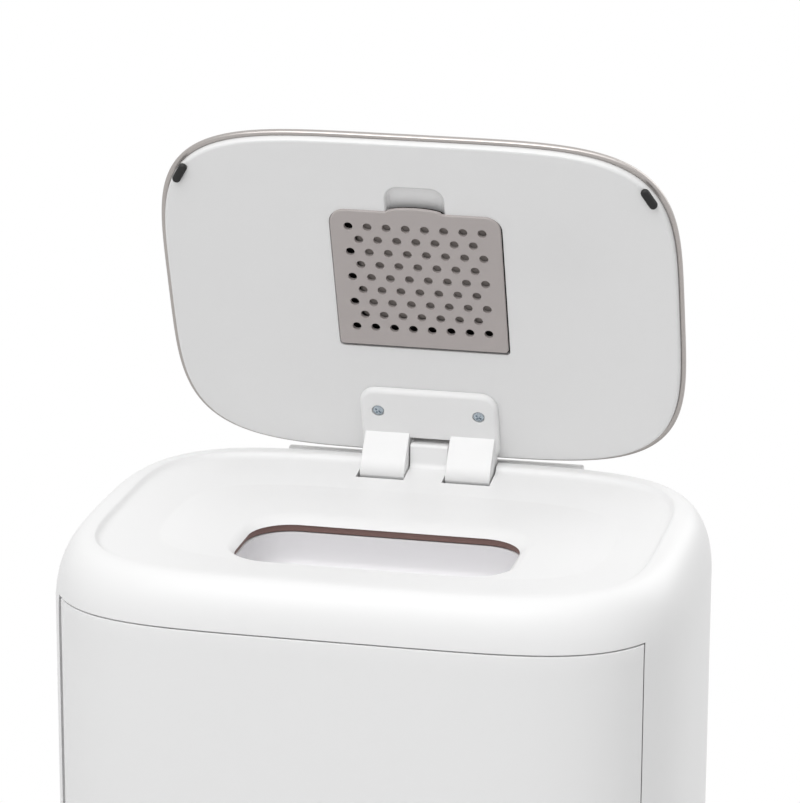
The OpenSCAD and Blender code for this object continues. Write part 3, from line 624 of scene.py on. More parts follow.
def scuff_group() -> Tree:
    """Returns the shared group of sparse hairline scuffs and settled dust, as two masks."""

    def draw(g: Graph, given: Any) -> list[Socket]:
        """Keeps the hairlines in patches, and the dust on what faces up."""
        bend = g.noise(given["Vector"], 14.0, 2.0)
        way = g.add("ShaderNodeVectorMath", {0: given["Vector"], 1: bend.outputs[1]}, operation="ADD").outputs[0]
        size = {"Vector": way, "Scale": given["Scuff scale"]}
        cells = g.add("ShaderNodeTexVoronoi", size, feature="DISTANCE_TO_EDGE")
        line = g.ranged(cells.outputs[0], 0.0, 0.012, 1.0, 0.0)
        patch = g.noise(given["Vector"], 22.0, 3.0).outputs[0]
        sparse = g.ranged(patch, 0.6, 0.72, 0.0, 1.0)
        facing = g.add("ShaderNodeSeparateXYZ", {0: g.add("ShaderNodeNewGeometry").outputs["Normal"]}).outputs[2]
        level = g.ranged(facing, 0.5, 1.0, 0.0, 1.0)
        both = ((line, sparse), (level, patch))
        return [g.math("MULTIPLY", g.math("MULTIPLY", *pair), given["Amount"]) for pair in both]

    inputs = {"Vector": ORIGIN, "Scuff scale": 60.0, "Amount": 0.2}
    return new_tree("scuffs_and_dust", "ShaderNodeTree", inputs, floats("Scuffs", "Dust"), draw)


@dataclass(frozen=True)
class Finish:
    """A surface finish. Its material is made once and shared by every piece that has it."""

    name: str
    colour: Colour
    roughness: float
    grain: float
    bump: float
    shade: float

    def material(self) -> bpy.types.Material:
        """Returns the finish's material."""
        known = bpy.data.materials.get(self.name)
        if known:
            return known
        made = bpy.data.materials.new(self.name)
        made.use_nodes = True
        made.diffuse_color = self.colour
        g = Graph(made.node_tree)
        place = g.add("ShaderNodeTexCoord").outputs["Object"]
        shader = g.add("ShaderNodeBsdfPrincipled")
        self.wire(g, place, shader)
        g.add("ShaderNodeOutputMaterial", {"Surface": shader.outputs[0]})
        return made

    def wire(self, g: Graph, place: Socket, shader: bpy.types.Node) -> None:
        """Connects the finish's detail, in object coordinates, to the Principled shader."""
        grain = g.add("ShaderNodeGroup", {"Vector": place, "Grain scale": self.grain}, node_tree=grain_group()).outputs
        scuff = g.add("ShaderNodeGroup", {"Vector": place, "Amount": 0.25}, node_tree=scuff_group()).outputs
        tint = g.mix(grain["Cloud"], darker(self.colour, 1 - self.shade), self.colour)
        dusty = g.mix(g.math("MULTIPLY", scuff["Dust"], 0.12), tint, srgb(206, 202, 196))
        ground = g.ranged(grain["Cloud"], 0.3, 0.7, self.roughness - 0.04, self.roughness + 0.05)
        rough = g.math("ADD", ground, g.math("MULTIPLY", scuff["Scuffs"], 0.25))
        relief = g.bump(grain["Height"], self.bump, 0.0002)
        g.fill(shader, {"Base Color": dusty, "Roughness": rough, "Normal": relief})


@dataclass(frozen=True)
class Moulded(Finish):
    """Injection-moulded plastic with a fine satin grain."""

    def wire(self, g: Graph, place: Socket, shader: bpy.types.Node) -> None:
        """Adds the plastic's softer shine to the common detail."""
        super().wire(g, place, shader)
        g.fill(shader, {"Specular IOR Level": 0.42})


@dataclass(frozen=True)
class SatinMetal(Finish):
    """Metal brushed along one axis."""

    along: tuple[float, float, float] = (6.0, 700.0, 700.0)

    def wire(self, g: Graph, place: Socket, shader: bpy.types.Node) -> None:
        """Adds the brushed lines to the common detail."""
        super().wire(g, place, shader)
        lay = g.add("ShaderNodeMapping", {"Vector": place, "Scale": self.along}).outputs[0]
        lines = g.noise(lay, 2.2, 3.0, 0.65).outputs[0]
        rough = g.ranged(lines, 0.25, 0.75, self.roughness - 0.07, self.roughness + 0.09)
        g.fill(shader, {"Metallic": 1.0, "Roughness": rough, "Normal": g.bump(lines, self.bump, 0.00008)})


@dataclass(frozen=True)
class Felt(Finish):
    """Pressed felt: short crossed fibres."""

    def wire(self, g: Graph, place: Socket, shader: bpy.types.Node) -> None:
        """Draws two crossed layers of fibres in colour and height."""
        layers = []
        for scale in ((2600.0, 300.0, 900.0), (300.0, 2600.0, 900.0)):
            lay = g.add("ShaderNodeMapping", {"Vector": place, "Scale": scale, "Rotation": (0.0, 0.0, 0.6)})
            layers.append(g.noise(lay.outputs[0], 1.0, 4.0).outputs[0])
        fibres = g.math("MAXIMUM", *layers)
        tint = g.mix(fibres, darker(self.colour, 0.55), self.colour)
        relief = g.bump(fibres, self.bump, 0.0004)
        g.fill(shader, {"Base Color": tint, "Roughness": self.roughness, "Normal": relief})


class Looks(Enum):
    """The finishes of the bin: name, colour, roughness, grain scale, bump, shade and the way of the brushing."""

    WHITE_BODY = Moulded("white_body_plastic", srgb(238, 238, 238), 0.36, 1100.0, 0.035, 0.012)
    WHITE_LINER = Moulded("white_liner_plastic", srgb(232, 232, 232), 0.22, 1300.0, 0.02, 0.015)
    WHITE_DISH = Moulded("white_dish_plastic", srgb(229, 228, 230), 0.24, 1300.0, 0.02, 0.015)
    WHITE_BRACKET = Moulded("white_bracket_plastic", srgb(239, 239, 239), 0.38, 1000.0, 0.04, 0.012)
    PALE_GREY = Moulded("pale_grey_plastic", srgb(206, 207, 209), 0.45, 800.0, 0.06, 0.03)
    PAIL_GREY = Moulded("grey_pail_plastic", srgb(186, 189, 194), 0.42, 700.0, 0.07, 0.03)
    VENT_GREY = Moulded("warm_grey_vent_plastic", srgb(178, 171, 169), 0.42, 1500.0, 0.05, 0.03)
    WARM_SILVER = SatinMetal("warm_silver_lid_metal", srgb(176, 171, 168), 0.34, 900.0, 0.10, 0.02)
    STEEL = SatinMetal("bright_plain_steel", srgb(190, 193, 196), 0.28, 700.0, 0.12, 0.03, (700.0, 700.0, 8.0))
    SCREW_STEEL = SatinMetal("zinc_plated_screw", srgb(172, 182, 190), 0.24, 1500.0, 0.10, 0.03, (300.0, 300.0, 300.0))
    SEAL_BROWN = Finish("brown_seal_rubber", srgb(122, 94, 88), 0.55, 1400.0, 0.12, 0.05)
    BLACK_RUBBER = Finish("black_bumper_rubber", srgb(10, 10, 11), 0.6, 1500.0, 0.12, 0.1)
    # Near-black painted shade for the filter tub: it stands for the deep shade round the felt and in the gap round the
    # vent cover.
    PAINTED_SHADE_SHEET = Finish("black_tub_painted_shade", srgb(40, 35, 34), 0.7, 900.0, 0.06, 0.1)
    TREAD_RUBBER = Finish("dark_grey_tread_rubber", srgb(66, 66, 69), 0.6, 1200.0, 0.18, 0.08)
    MAGNET = Finish("dark_grey_magnet", srgb(84, 84, 88), 0.4, 900.0, 0.06, 0.05)
    GREY_FELT = Felt("grey_filter_felt", srgb(158, 151, 147), 0.92, 900.0, 0.6, 0.1)

    def material(self) -> bpy.types.Material:
        """Returns this finish's material."""
        return self.value.material()

    def dress(self, piece: Piece) -> Piece:
        """Gives a piece this finish alone and returns it."""
        piece.data.materials.clear()
        piece.data.materials.append(self.material())
        if piece.data.polygons:
            piece.data.polygons.foreach_set("material_index", [0] * len(piece.data.polygons))
        return piece


def settle(piece: Piece, body: str, look: Looks, nodes: Sequence[str] = (), angle: float = 32.0) -> Piece:
    """Shades, dresses and seats a finished piece.

    Args:
        piece: the piece, in place.
        body: the CAD body that it rides on.
        look: its finish.
        nodes: the CAD nodes that it stands for.
        angle: edges sharper than this stay crisp.

    Returns:
        The piece.
    """
    smooth(piece, angle)
    look.dress(piece)
    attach(piece, body)
    if nodes:
        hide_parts(*nodes)
    log.info("%s rides on %s with %d faces", piece.name, body, len(piece.data.polygons))
    return piece


# ---------------------------------------------------------------- body


@dataclass(frozen=True)
class BodyShell:
    """The one-piece moulded body with its rolled rim, deck, waste opening and hinge knuckle."""

    s: BinSizes = BinSizes()
    mouth_w: float = 140.0
    mouth_d: float = 68.0
    mouth_r: float = 22.0
    mouth_y: float = -24.0
    slot_in: float = 10.2
    slot_out: float = 35.9
    slot_front: float = 80.3
    slot_back: float = 110.7
    slot_lean: float = 0.61
    knuckle_front: float = 96.4
    knuckle_back: float = 107.5
    knuckle_up: float = 9.6
    knuckle_r: float = 1.8
    knuckle_foot: float = 3.5
    cheek_r: float = 6.5
    cheek_t: float = 7.0
    bore_half: float = 43.7
    door_x: float = 146.0
    door_y: float = -76.0
    door_z: float = 60.0
    door_top: float = 555.2
    door_gap: float = 0.8
    pivot: Point2 = (-143.0, -86.276)
    pivot_socket_r: float = 5.1
    window_y: float = -91.0
    strip_half: float = 80.0

    def deck_rings(self) -> list[Ring]:
        """Returns the rings of the outer surface, from the foot of the wall over the rim to the deck's floor."""
        s = self.s
        rings = [s.body_oval(inset, s.shell_z + rise) for inset, rise in ((0.6, 0.0), (0.15, 0.25), (0, 0.9))]
        rings += [s.body_oval(0, z) for z in (150.0, 300.0, 450.0, 530.0, s.crest - s.dome_down)]
        for t in np.radians(np.arange(5, 91, 5)):
            rings.append(s.body_oval(s.dome_in * (1 - math.cos(t)), s.crest - s.dome_down * (1 - math.sin(t))))
        crest, seat = s.body_oval(s.dome_in, 0.0), s.seat_oval(0, 0.0)
        land = ((0.35, 0.0), (0.6, 0.03), (0.78, 0.12), (0.9, 0.3), (1.0, 0.7))
        rings += [blend(crest, seat, share, s.crest - drop) for share, drop in land]
        step = ((0.45, 1.3), (1.0, 2.05), (1.8, 2.65), (3.0, 3.1), (4.6, 3.4))
        rings += [s.seat_oval(inset, s.crest - drop) for inset, drop in step]
        top, bottom = s.crest - step[-1][1], s.crest - s.floor_drop
        start, floor = rings[-1], s.floor_oval(0, bottom)
        for share in (0.2, 0.45, 0.7, 0.85, 0.94, 1.0):
            eased = share if share < 0.7 else share + 0.5 * (share - 0.7) * (1 - share)
            rings.append(blend(start, floor, share, top + (bottom - top) * min(1.0, eased)))
        return [*rings, s.floor_oval(6, bottom)]

    def hollow_rings(self) -> list[Ring]:
        """Returns the rings of the space inside the walls."""
        s, w = self.s, self.s.wall
        base = s.crest - s.dome_down
        rings = [s.body_oval(w, z) for z in (s.shell_z - 1, 300.0, base)]
        for t in np.radians(np.arange(10, 91, 10)):
            rings.append(s.body_oval(w + (s.dome_in + 1) * (1 - math.cos(t)), base + (s.dome_down - w) * math.sin(t)))
        rings += [s.seat_oval(w, s.crest - w - 1), s.seat_oval(5, s.crest - 6)]
        return [*rings, s.floor_oval(-1, s.crest - s.floor_drop - w)]

    def mouth_cutter(self) -> Piece:
        """Returns the tool for the waste opening, flared so that the deck rolls into it, most of all at its rear."""

        def ring(side: float, rear: float, fore: float, z: float) -> Ring:
            """Returns the opening's outline, grown by other widths at its sides, rear and front."""
            w, d, y = self.mouth_w + 2 * side, self.mouth_d + rear + fore, self.mouth_y + (rear - fore) / 2
            return rounded(w, d, self.mouth_r + side, z, 0, y, 14)

        levels = (
            (0.0, 0.0, 0.0, -8.0), (0.0, 0.0, 0.0, -3.0), (0.3, 0.8, 0.05, -2.6), (0.9, 2.2, 0.12, -2.0),
            (1.7, 4.2, 0.25, -1.3), (2.7, 6.5, 0.45, -0.7), (3.8, 9.0, 0.7, -0.25), (5.2, 12.0, 1.2, 0.0),
            (6.5, 13.5, 2.0, 0.9),
        )
        return stack("mouth_tool", ring, levels, self.s.crest - self.s.floor_drop)

    def knuckle(self) -> Piece:
        """Returns the fixed knuckle between the lid's arms, rolled into the deck at its foot."""
        front, back, r, foot = self.knuckle_front, self.knuckle_back, self.knuckle_r, self.knuckle_foot
        top, deck = self.s.crest + self.knuckle_up, self.s.crest - 3.6
        outline = [(front - foot, deck - 3), (back, deck - 10), (back, top)]
        outline += arc((front + r, top - r), r, 90, 180, 11) + arc((front - foot, deck + foot), foot, 0, -90, 11)
        return prism("knuckle", outline, (-self.slot_in, self.slot_in), 0.5)

    def cheeks(self) -> list[Piece]:
        """Returns the two bosses that carry the ends of the hinge pin."""
        s, r = self.s, self.cheek_r
        outline = arc((s.hinge_y, s.hinge_z), r, 180, 360, 16)
        top = s.crest - 1.2
        outline += [(s.hinge_y + r, top), (s.hinge_y - r + 4.5, top), (s.hinge_y - r, s.crest - 4.5)]
        return both_sides(outline, self.slot_out, self.slot_out + self.cheek_t)

    def slots(self) -> list[Piece]:
        """Returns the tools for the slots of the lid's arms, whose front walls lean."""
        front, back, middle = self.slot_front, self.slot_back, self.s.hinge_z
        low, high, lean = middle - 20, middle + 20, self.slot_lean
        slant = [(front + lean * 22, low), (back, low), (back, high), (front - lean * 18, high)]
        return both_sides(slant, self.slot_in, self.slot_out)

    def build(self) -> Piece:
        """Builds the shell and returns it."""
        s, gap = self.s, self.door_gap
        low, high, half, front = self.door_z - gap, self.door_top + gap, self.door_x + gap / 2, -s.body_b - 1
        shell = carve(loft("body_shell_moulding", self.deck_rings()), loft("hollow", self.hollow_rings()))
        carve(shell, *self.slots())
        carve(shell, self.knuckle(), *self.cheeks(), how="UNION")
        carve(
            shell,
            self.mouth_cutter(),
            box((-half, front, low), (half, self.door_y, high)),
            loft("barrel_tool", [circle(self.pivot_socket_r, z, *self.pivot) for z in (low, high)]),
            box((-s.pedal_way, front, s.shell_z - 2), (s.pedal_way, self.window_y, s.tray_top)),
            s.hinge_bore(self.bore_half),
        )
        return settle(shell, "base", Looks.WHITE_BODY, ["body_shell"], 28)

    def strip(self) -> Piece:
        """Builds the strip on the rim behind the lid's arms and returns it."""
        y0, y1, low, top = self.slot_back + 0.4, self.slot_back + 5.0, self.s.hinge_z - 2, self.s.crest - 0.8
        outline = [(y0, low), (y1, low), (y1, top - 2.2), (y1 - 0.6, top - 0.8), (y1 - 1.8, top)]
        outline += [(y0 + 0.5, top), (y0, top - 0.5)]
        strip = prism("hinge_strip", outline, (-self.strip_half, self.strip_half), 0.8)
        carve(strip, loft("outer_tool", self.deck_rings()))
        return settle(strip, "base", Looks.WHITE_BODY, ["hinge_cover"])


# ---------------------------------------------------------------- waste opening


@dataclass(frozen=True)
class WasteOpening:
    """The seal, the odour barrier's dish and its spring, under the deck."""

    shell: BodyShell
    seal_top: float = 569.5
    seal_h: float = 4.0
    lip: float = 1.0
    seal_w: float = 5.0
    bowl_depth: float = 26.0
    bowl_wall: float = 2.0
    shaft_y: float = -68.0
    shaft_z: float = 560.7
    spring_x: float = -11.2
    spring_l: float = 22.4
    spring_r: float = 3.0
    wire_r: float = 0.55

    def ring(self, grow: float, z: float) -> Ring:
        """Returns the opening's outline, grown, at a height."""
        b = self.shell
        return block(b.mouth_w, b.mouth_d, b.mouth_r, 0, b.mouth_y, 14, 1.0)(-grow, z)

    def seal(self) -> Piece:
        """Builds the brown rubber ring, with a soft round lip."""
        h, lip, out = self.seal_h, self.lip, self.lip + self.seal_w
        profile = [(out, 0), (out, h), (lip + 1.0, h), (lip + 0.3, h - 0.3), (lip, h - 1.0)]
        profile += [(lip, 1.2), (lip + 0.35, 0.35), (lip + 1.2, 0)]
        piece = stack("opening_seal", self.ring, profile, self.seal_top - h, closed=True)
        return settle(piece, "base", Looks.SEAL_BROWN, ["rim_seal"])

    def drawn(self, share: float) -> float:
        """Returns how far the dish has drawn in at a share of its depth."""
        return 17 * share**5

    def bowl(self) -> Piece:
        """Builds the dish: rim, outer and inner surface and the two ears on the shaft."""
        w, lip, depth = self.bowl_wall, self.lip, self.bowl_depth
        out, middle = lip + 4, self.drawn(1) + 9
        steps = [1, 0.985, 0.95, 0.9, 0.82, 0.7, 0.55, 0.35, 0.15]
        rows = [(lip + w - middle, -depth), *((lip + w - self.drawn(t), -t * depth) for t in steps)]
        rows += [(lip + w, -w - 0.5), (out - 0.4, -w), (out, 0.4 - w), (out, -0.5), (out - 0.5, 0), (lip + 0.7, 0)]
        rows += [(lip, -0.6), *((lip - self.drawn(t), -t * (depth - w)) for t in reversed(steps))]
        rows += [(lip - middle, w - depth)]
        bowl = stack("barrier_dish", self.ring, rows, self.seal_top - self.seal_h - 0.3)
        y, z = self.shaft_y, self.shaft_z
        ear = [*arc((y, z), 4, 90, 270, 13), (y + 8.2, z - 3.4), (y + 8.2, z + 2.4)]
        joined(bowl, *both_sides(ear, 40.0, 46.0, 0.5))
        return settle(bowl, "barrier", Looks.WHITE_DISH, ["barrier_bowl"])

    def spring(self) -> Piece:
        """Winds the barrier's spring on its shaft."""
        wire = new_object("barrier_torsion_spring", [ORIGIN], [])
        values = {"Turns": 18.0, "Radius": self.spring_r * MM, "Length": self.spring_l * MM, "Wire": self.wire_r * MM}
        run_tree(wire, "wound_wire", draw_coil, Looks.STEEL, values)
        moved(wire, self.spring_x, self.shaft_y, self.shaft_z, turned(90, "Y"))
        return settle(wire, "base", Looks.STEEL, ["barrier_spring"])


# ---------------------------------------------------------------- door


@dataclass(frozen=True)
class Door:
    """The front door, its stiffening frame and the round edge that it turns on."""

    shell: BodyShell
    barrel_r: float = 3.0
    frame_x: float = 120.0
    frame_t: float = 6.0
    frame_low: float = 75.0
    frame_high: float = 537.2
    window_w: float = 212.0
    window_h: float = 434.0
    window_z: float = 306.0

    def run(self, inset: float, x0: float, x1: float, count: int = 150) -> np.ndarray:
        """Returns points (x, y) from left to right along the front of the body's outline, drawn in by inset."""
        s = self.shell.s
        x = x0 + (x1 - x0) * np.linspace(0, 1, 1500)
        y = (inset - s.body_b) * (1 - np.abs(x / (s.body_a - inset)) ** s.body_n) ** (1 / s.body_m)
        return np.stack(spread(x, y, count), 1)

    def slab(self, name: str, insets: Point2, ends: Point2, heights: Sequence[float], follow: bool) -> Piece:
        """Makes a curved slab along the front.

        Args:
            name: the object's name.
            insets: inset of its outer and inner face.
            ends: its left and right ends.
            heights: its levels, from the bottom up.
            follow: draws it in with the body's shoulder.

        Returns:
            The object.
        """
        rings = []
        for z in heights:
            back = self.shell.s.shoulder(z) if follow else 0.0
            outer, inner = (self.run(i + back, *ends) for i in insets)
            outline = np.concatenate([outer, inner[::-1]])
            rings.append(np.column_stack([outline, np.full(len(outline), z)]))
        return loft(name, rings)

    def panel(self) -> Piece:
        """Builds the door's panel with its soft edges and its barrel."""
        b, r = self.shell, self.barrel_r
        low, high = b.door_z, b.door_top
        heights = [low, 180.0, 300.0, 420.0, 520.0, 546.0, 549.0, 552.0, high]
        panel = soften(self.slab("front_door_panel", (0, b.s.wall), (b.pivot[0], b.door_x), heights, True), 0.7, 3)
        levels = ((r - 0.5, low), (r, low + 0.5), (r, high - 0.5), (r - 0.5, high))
        joined(panel, loft("barrel", [circle(q, z, *b.pivot) for q, z in levels]))
        return settle(panel, "door", Looks.WHITE_BODY, ["door_panel"], 28)

    def stiffener(self) -> Piece:
        """Builds the windowed frame behind the panel."""
        s, low, high = self.shell.s, self.frame_low, self.frame_high
        insets, ends = (s.wall, s.wall + self.frame_t), (-self.frame_x, self.frame_x)
        piece = self.slab("door_stiffener", insets, ends, [low, 200.0, 320.0, 440.0, high], False)
        window = stack("window", block(self.window_w, self.window_h, 14), ((0, -s.body_b - 5), (0, -60)))
        moved(window, 0, 0, self.window_z, turned(90, "X") @ Matrix.Scale(-1, 4, (0, 0, 1)))
        window.data.flip_normals()
        soften(carve(piece, window), 0.6, 2)
        return settle(piece, "door", Looks.PALE_GREY, ["door_frame"])


# ---------------------------------------------------------------- lid


@dataclass(frozen=True)
class Lid:
    """The metal cover, the white lining, the bumpers and the vented filter, built closed and then opened."""

    s: BinSizes = BinSizes()
    pocket_x: float = 11.5
    pocket_u: float = 13.0
    pocket_n: float = 9.8
    vent_w: float = 89.4
    vent_l: float = 83.0
    vent_u: float = 69.5
    lip_half: float = 14.5
    first_row: float = 11.5
    pitch: float = 10.0
    row_pitch: float = 7.73
    hole_r: float = 2.35
    tub_w: float = 80.4
    tub_l: float = 74.0
    pad_w: float = 71.4
    pad_l: float = 63.0
    pad_t: float = 5.4
    pad_x: float = 3.0
    pad_u: float = 46.3
    bumper_w: float = 12.2
    bumper_l: float = 4.5
    bumper_x: float = 121.7
    bumper_u: float = 169.3
    bumper_turn: float = 60.0

    @property
    def vent_y(self) -> float:
        """Returns the middle of the vent cover, front to back, on the closed lid."""
        return self.s.rear_line - self.vent_u - self.vent_l / 2

    def open(self, piece: Piece) -> Piece:
        """Turns a piece drawn on the closed lid to the open one."""
        return swung(piece, self.s.hinge_y, self.s.hinge_z, -self.s.open_angle)

    def pocket(self) -> Piece:
        """Returns the tool for the space that clears the fixed knuckle."""
        s, x = self.s, self.pocket_x
        return box((-x, s.rear_line - self.pocket_u, s.liner_z - 5), (x, s.rear_line + 12, s.liner_z + self.pocket_n))

    def cover(self) -> Piece:
        """Builds the satin metal cover: crowned top, round edge and the rim turned in under it."""
        profile = [
            (60.0, 8.7), (45.0, 8.6), (30.0, 8.42), (16.0, 8.1), (9.0, 7.8), (6.0, 7.45), (4.2, 6.9), (2.6, 5.9),
            (1.4, 4.7), (0.6, 3.6), (0.15, 2.6), (0.0, 1.7), (0.0, 1.0), (0.15, 0.45), (0.45, 0.12), (0.9, 0.0),
            (1.6, 0.0), (2.1, 0.1), (2.3, 0.35), (2.3, 1.2), (1.3, 1.2), (1.2, 2.2), (2.6, 4.4), (6.2, 6.3),
            (45.0, 7.0), (60.0, 7.1),
        ]
        s = self.s
        cover = new_object("lid_metal_cover", [(i, 0.0, s.liner_z + s.rim_up + z) for i, z in profile], [])
        values = {
            "Half width": s.lid_a * MM, "Half depth": s.lid_b * MM, "Side power": s.lid_n, "Front power": s.lid_m,
            "Segments": 320, "Levels": len(profile),
        }
        run_tree(cover, "oval_sweep", draw_sweep, Looks.WARM_SILVER, values)
        moved(filled(cover, (0.8, 0.6, 0.4, 0.2, 0.06, 0.0)), 0, s.lid_y, 0)
        carve(cover, self.pocket())
        return settle(self.open(cover), "lid", Looks.WARM_SILVER, ["lid_cover"])

    def lining(self) -> Piece:
        """Builds the white lining with its bevelled edge, the seat of the vent cover, the finger notch and the tub."""
        s, z, y = self.s, self.s.liner_z, self.vent_y
        edge, up = s.rim_w + 0.08, s.rim_up
        bevel = [(1.75, 0.0), (1.3, 0.08), (0.8, 0.35), (0.42, 0.85), (0.2, 1.6), (0.08, 2.4), (0.0, up - 0.3)]
        profile = [(26.0, 0.0), (8.0, 0.0), *((edge + i, h) for i, h in bevel), (edge, up + 1.4)]
        profile += [(1.8, up + 1.4), (1.8, up + 3.4), (26.0, up + 3.4)]
        lining = stack("lid_lining", s.lid_oval, profile, z)
        walls = stack("tub_walls", block(self.tub_w + 3, self.tub_l + 3, 5, 0, y), ((0, 2.0), (0, 8.5)), z)
        carve(lining, walls, how="UNION")
        seat = stack("seat_tool", self.vent_ring, ((1.0, -1.0), (0.9, -0.1), (0.6, 0.15), (0.5, 0.5), (0.5, 2.6)), z)
        tub = stack("tub_tool", block(self.tub_w, self.tub_l, 4, 0, y), ((0, -1.0), (0, 7.0)), z)
        carve(lining, self.shifted(seat), self.notch(), tub, self.pocket())
        return settle(self.open(lining), "lid", Looks.WHITE_LINER, ["lid_liner"], 24)

    def notch(self) -> Piece:
        """Returns the tool for the finger notch, whose floor rises towards the lid's front."""
        z, front = self.s.liner_z, self.vent_y - self.vent_l / 2
        levels = ((1.3, -1.0), (1.1, -0.1), (0.5, 0.3), (0.0, 1.0), (-0.4, 2.0), (-1.6, 2.8), (-5.0, 3.0))
        rings = [block(30, 26, 7, 0.5, front - 1.5)(-grow, z + h) for grow, h in levels]
        for ring in rings:
            toward = np.clip((ring[:, 1] - front + 14.5) / 14.5, 0, 1)
            ring[:, 2] += np.maximum(ring[:, 2] - z, 0) * (1.1 * toward - 0.45)
        return loft("notch_tool", rings)

    def shifted(self, piece: Piece) -> Piece:
        """Moves what lies round the vent cover off its middle, so that the cover's play shows on two sides."""
        return moved(piece, 0.1, 1.2, 0)

    def vent_ring(self, grow: float, z: float) -> Ring:
        """Returns the vent cover's outline: round corners at the lid's front, small ones at its hinge side."""
        w, l, half = self.vent_w + 2 * grow, self.vent_l + 2 * grow, self.lip_half
        corners = rounded(w, l, (2.0, 2.0, 8.0, 8.0), z, 0, self.vent_y, 8)
        rise = 2.6 if grow > -0.6 else 2.2
        across = half * np.cos(np.linspace(math.pi, 2 * math.pi, 11))
        reach = rise * np.sqrt(np.maximum(0, 1 - (across / half) ** 2))
        lip = np.column_stack([across, self.vent_y - l / 2 - reach, np.full(len(across), z)])
        return np.insert(corners, 3 * len(corners) // 4, lip, axis=0)

    def vent(self) -> Piece:
        """Builds the perforated vent cover, with its lip and soft edges."""
        s = self.s
        levels = [(-0.9, -2.0), (-0.35, -1.85), (-0.05, -1.45), (0.0, -1.0), (0.0, -0.3), (-0.3, 0.0)]
        plate = stack("vent_cover", self.vent_ring, levels, s.liner_z + 0.8)
        first = (0.0, (s.rear_line - self.vent_u - self.first_row) * MM, s.liner_z * MM)
        sizes = {"Pitch": self.pitch * MM, "Row pitch": self.row_pitch * MM, "Radius": self.hole_r * MM}
        values = {"Rows": 9, "Holes": 8, "First row": first, **sizes}
        soften(run_tree(plate, "staggered_holes", draw_holes, Looks.VENT_GREY, values), 0.25, 2)
        return settle(self.open(plate), "filter_door", Looks.VENT_GREY, ["filter_cover"], 30)

    def pad(self) -> Piece:
        """Builds the felt filter pad as a crowned block with soft edges."""
        s, thick = self.s, self.pad_t
        ring = block(self.pad_w, self.pad_l, 5, self.pad_x, s.rear_line - self.vent_u - self.pad_u, least_r=5)
        crown = (
            (14, 0.0), (3, 0.02), (1.0, 0.12), (0.3, 0.35), (0.0, 0.6), (0.3, 0.8), (1.2, 0.95), (3.5, 1.0), (14, 1.0),
        )
        piece = stack("filter_felt_pad", ring, [(inset, thick * share) for inset, share in crown], s.liner_z + 1.3)
        settle(self.open(piece), "lid", Looks.GREY_FELT, ["filter_pad"], 60)
        return piece

    def tub_painted_shade(self) -> Piece:
        """Builds a near-black sheet of painted shade that lines the tub round the felt, with its flange under the vent
        cover's edge, so that the deep tub and the gap round the vent cover look shaded.
        """
        z, y, w, l = self.s.liner_z, self.vent_y, self.tub_w, self.tub_l
        levels = ((0.9, 3.6, 6.75), (0.9, 3.6, 2.2), (0.1, 4.0, 2.2), (0.1, 4.0, 6.95))
        rings = [rounded(w - gap, l - gap, r, z + h, 0, y) for gap, r, h in levels]
        flange = stack("flange", self.vent_ring, ((0.4, 2.15), (0.4, 2.5)), z)
        carve(flange, stack("tub_tool", block(w - 1, l - 1, 3.6, 0, y), ((0, 1.0), (0, 4.0)), z))
        # The sheet and its flange are painted shade: dark where the tub is deep and along the vent cover's edge.
        piece = joined(loft("filter_tub_painted_shade", rings), self.shifted(flange))
        return settle(self.open(piece), "lid", Looks.PAINTED_SHADE_SHEET)

    def bumpers(self) -> Piece:
        """Builds the two rubber bumpers at the lid's front corners."""
        s, r = self.s, self.bumper_l / 2
        levels = ((1.6, -2.6), (0.8, -2.45), (0.25, -1.9), (0.0, -1.1), (0.1, 0.0))
        pills = []
        for side, name in ((1, "bumper_pair"), (-1, "pill")):
            pill = stack(name, block(self.bumper_w, self.bumper_l, r, steps=8), levels)
            place = (side * self.bumper_x, s.rear_line - self.bumper_u, s.liner_z)
            pills.append(moved(pill, *place, turned(side * self.bumper_turn, "Z")))
        return settle(self.open(joined(*pills)), "lid", Looks.BLACK_RUBBER, ["lid_bumpers"], 50)


# ---------------------------------------------------------------- hinge


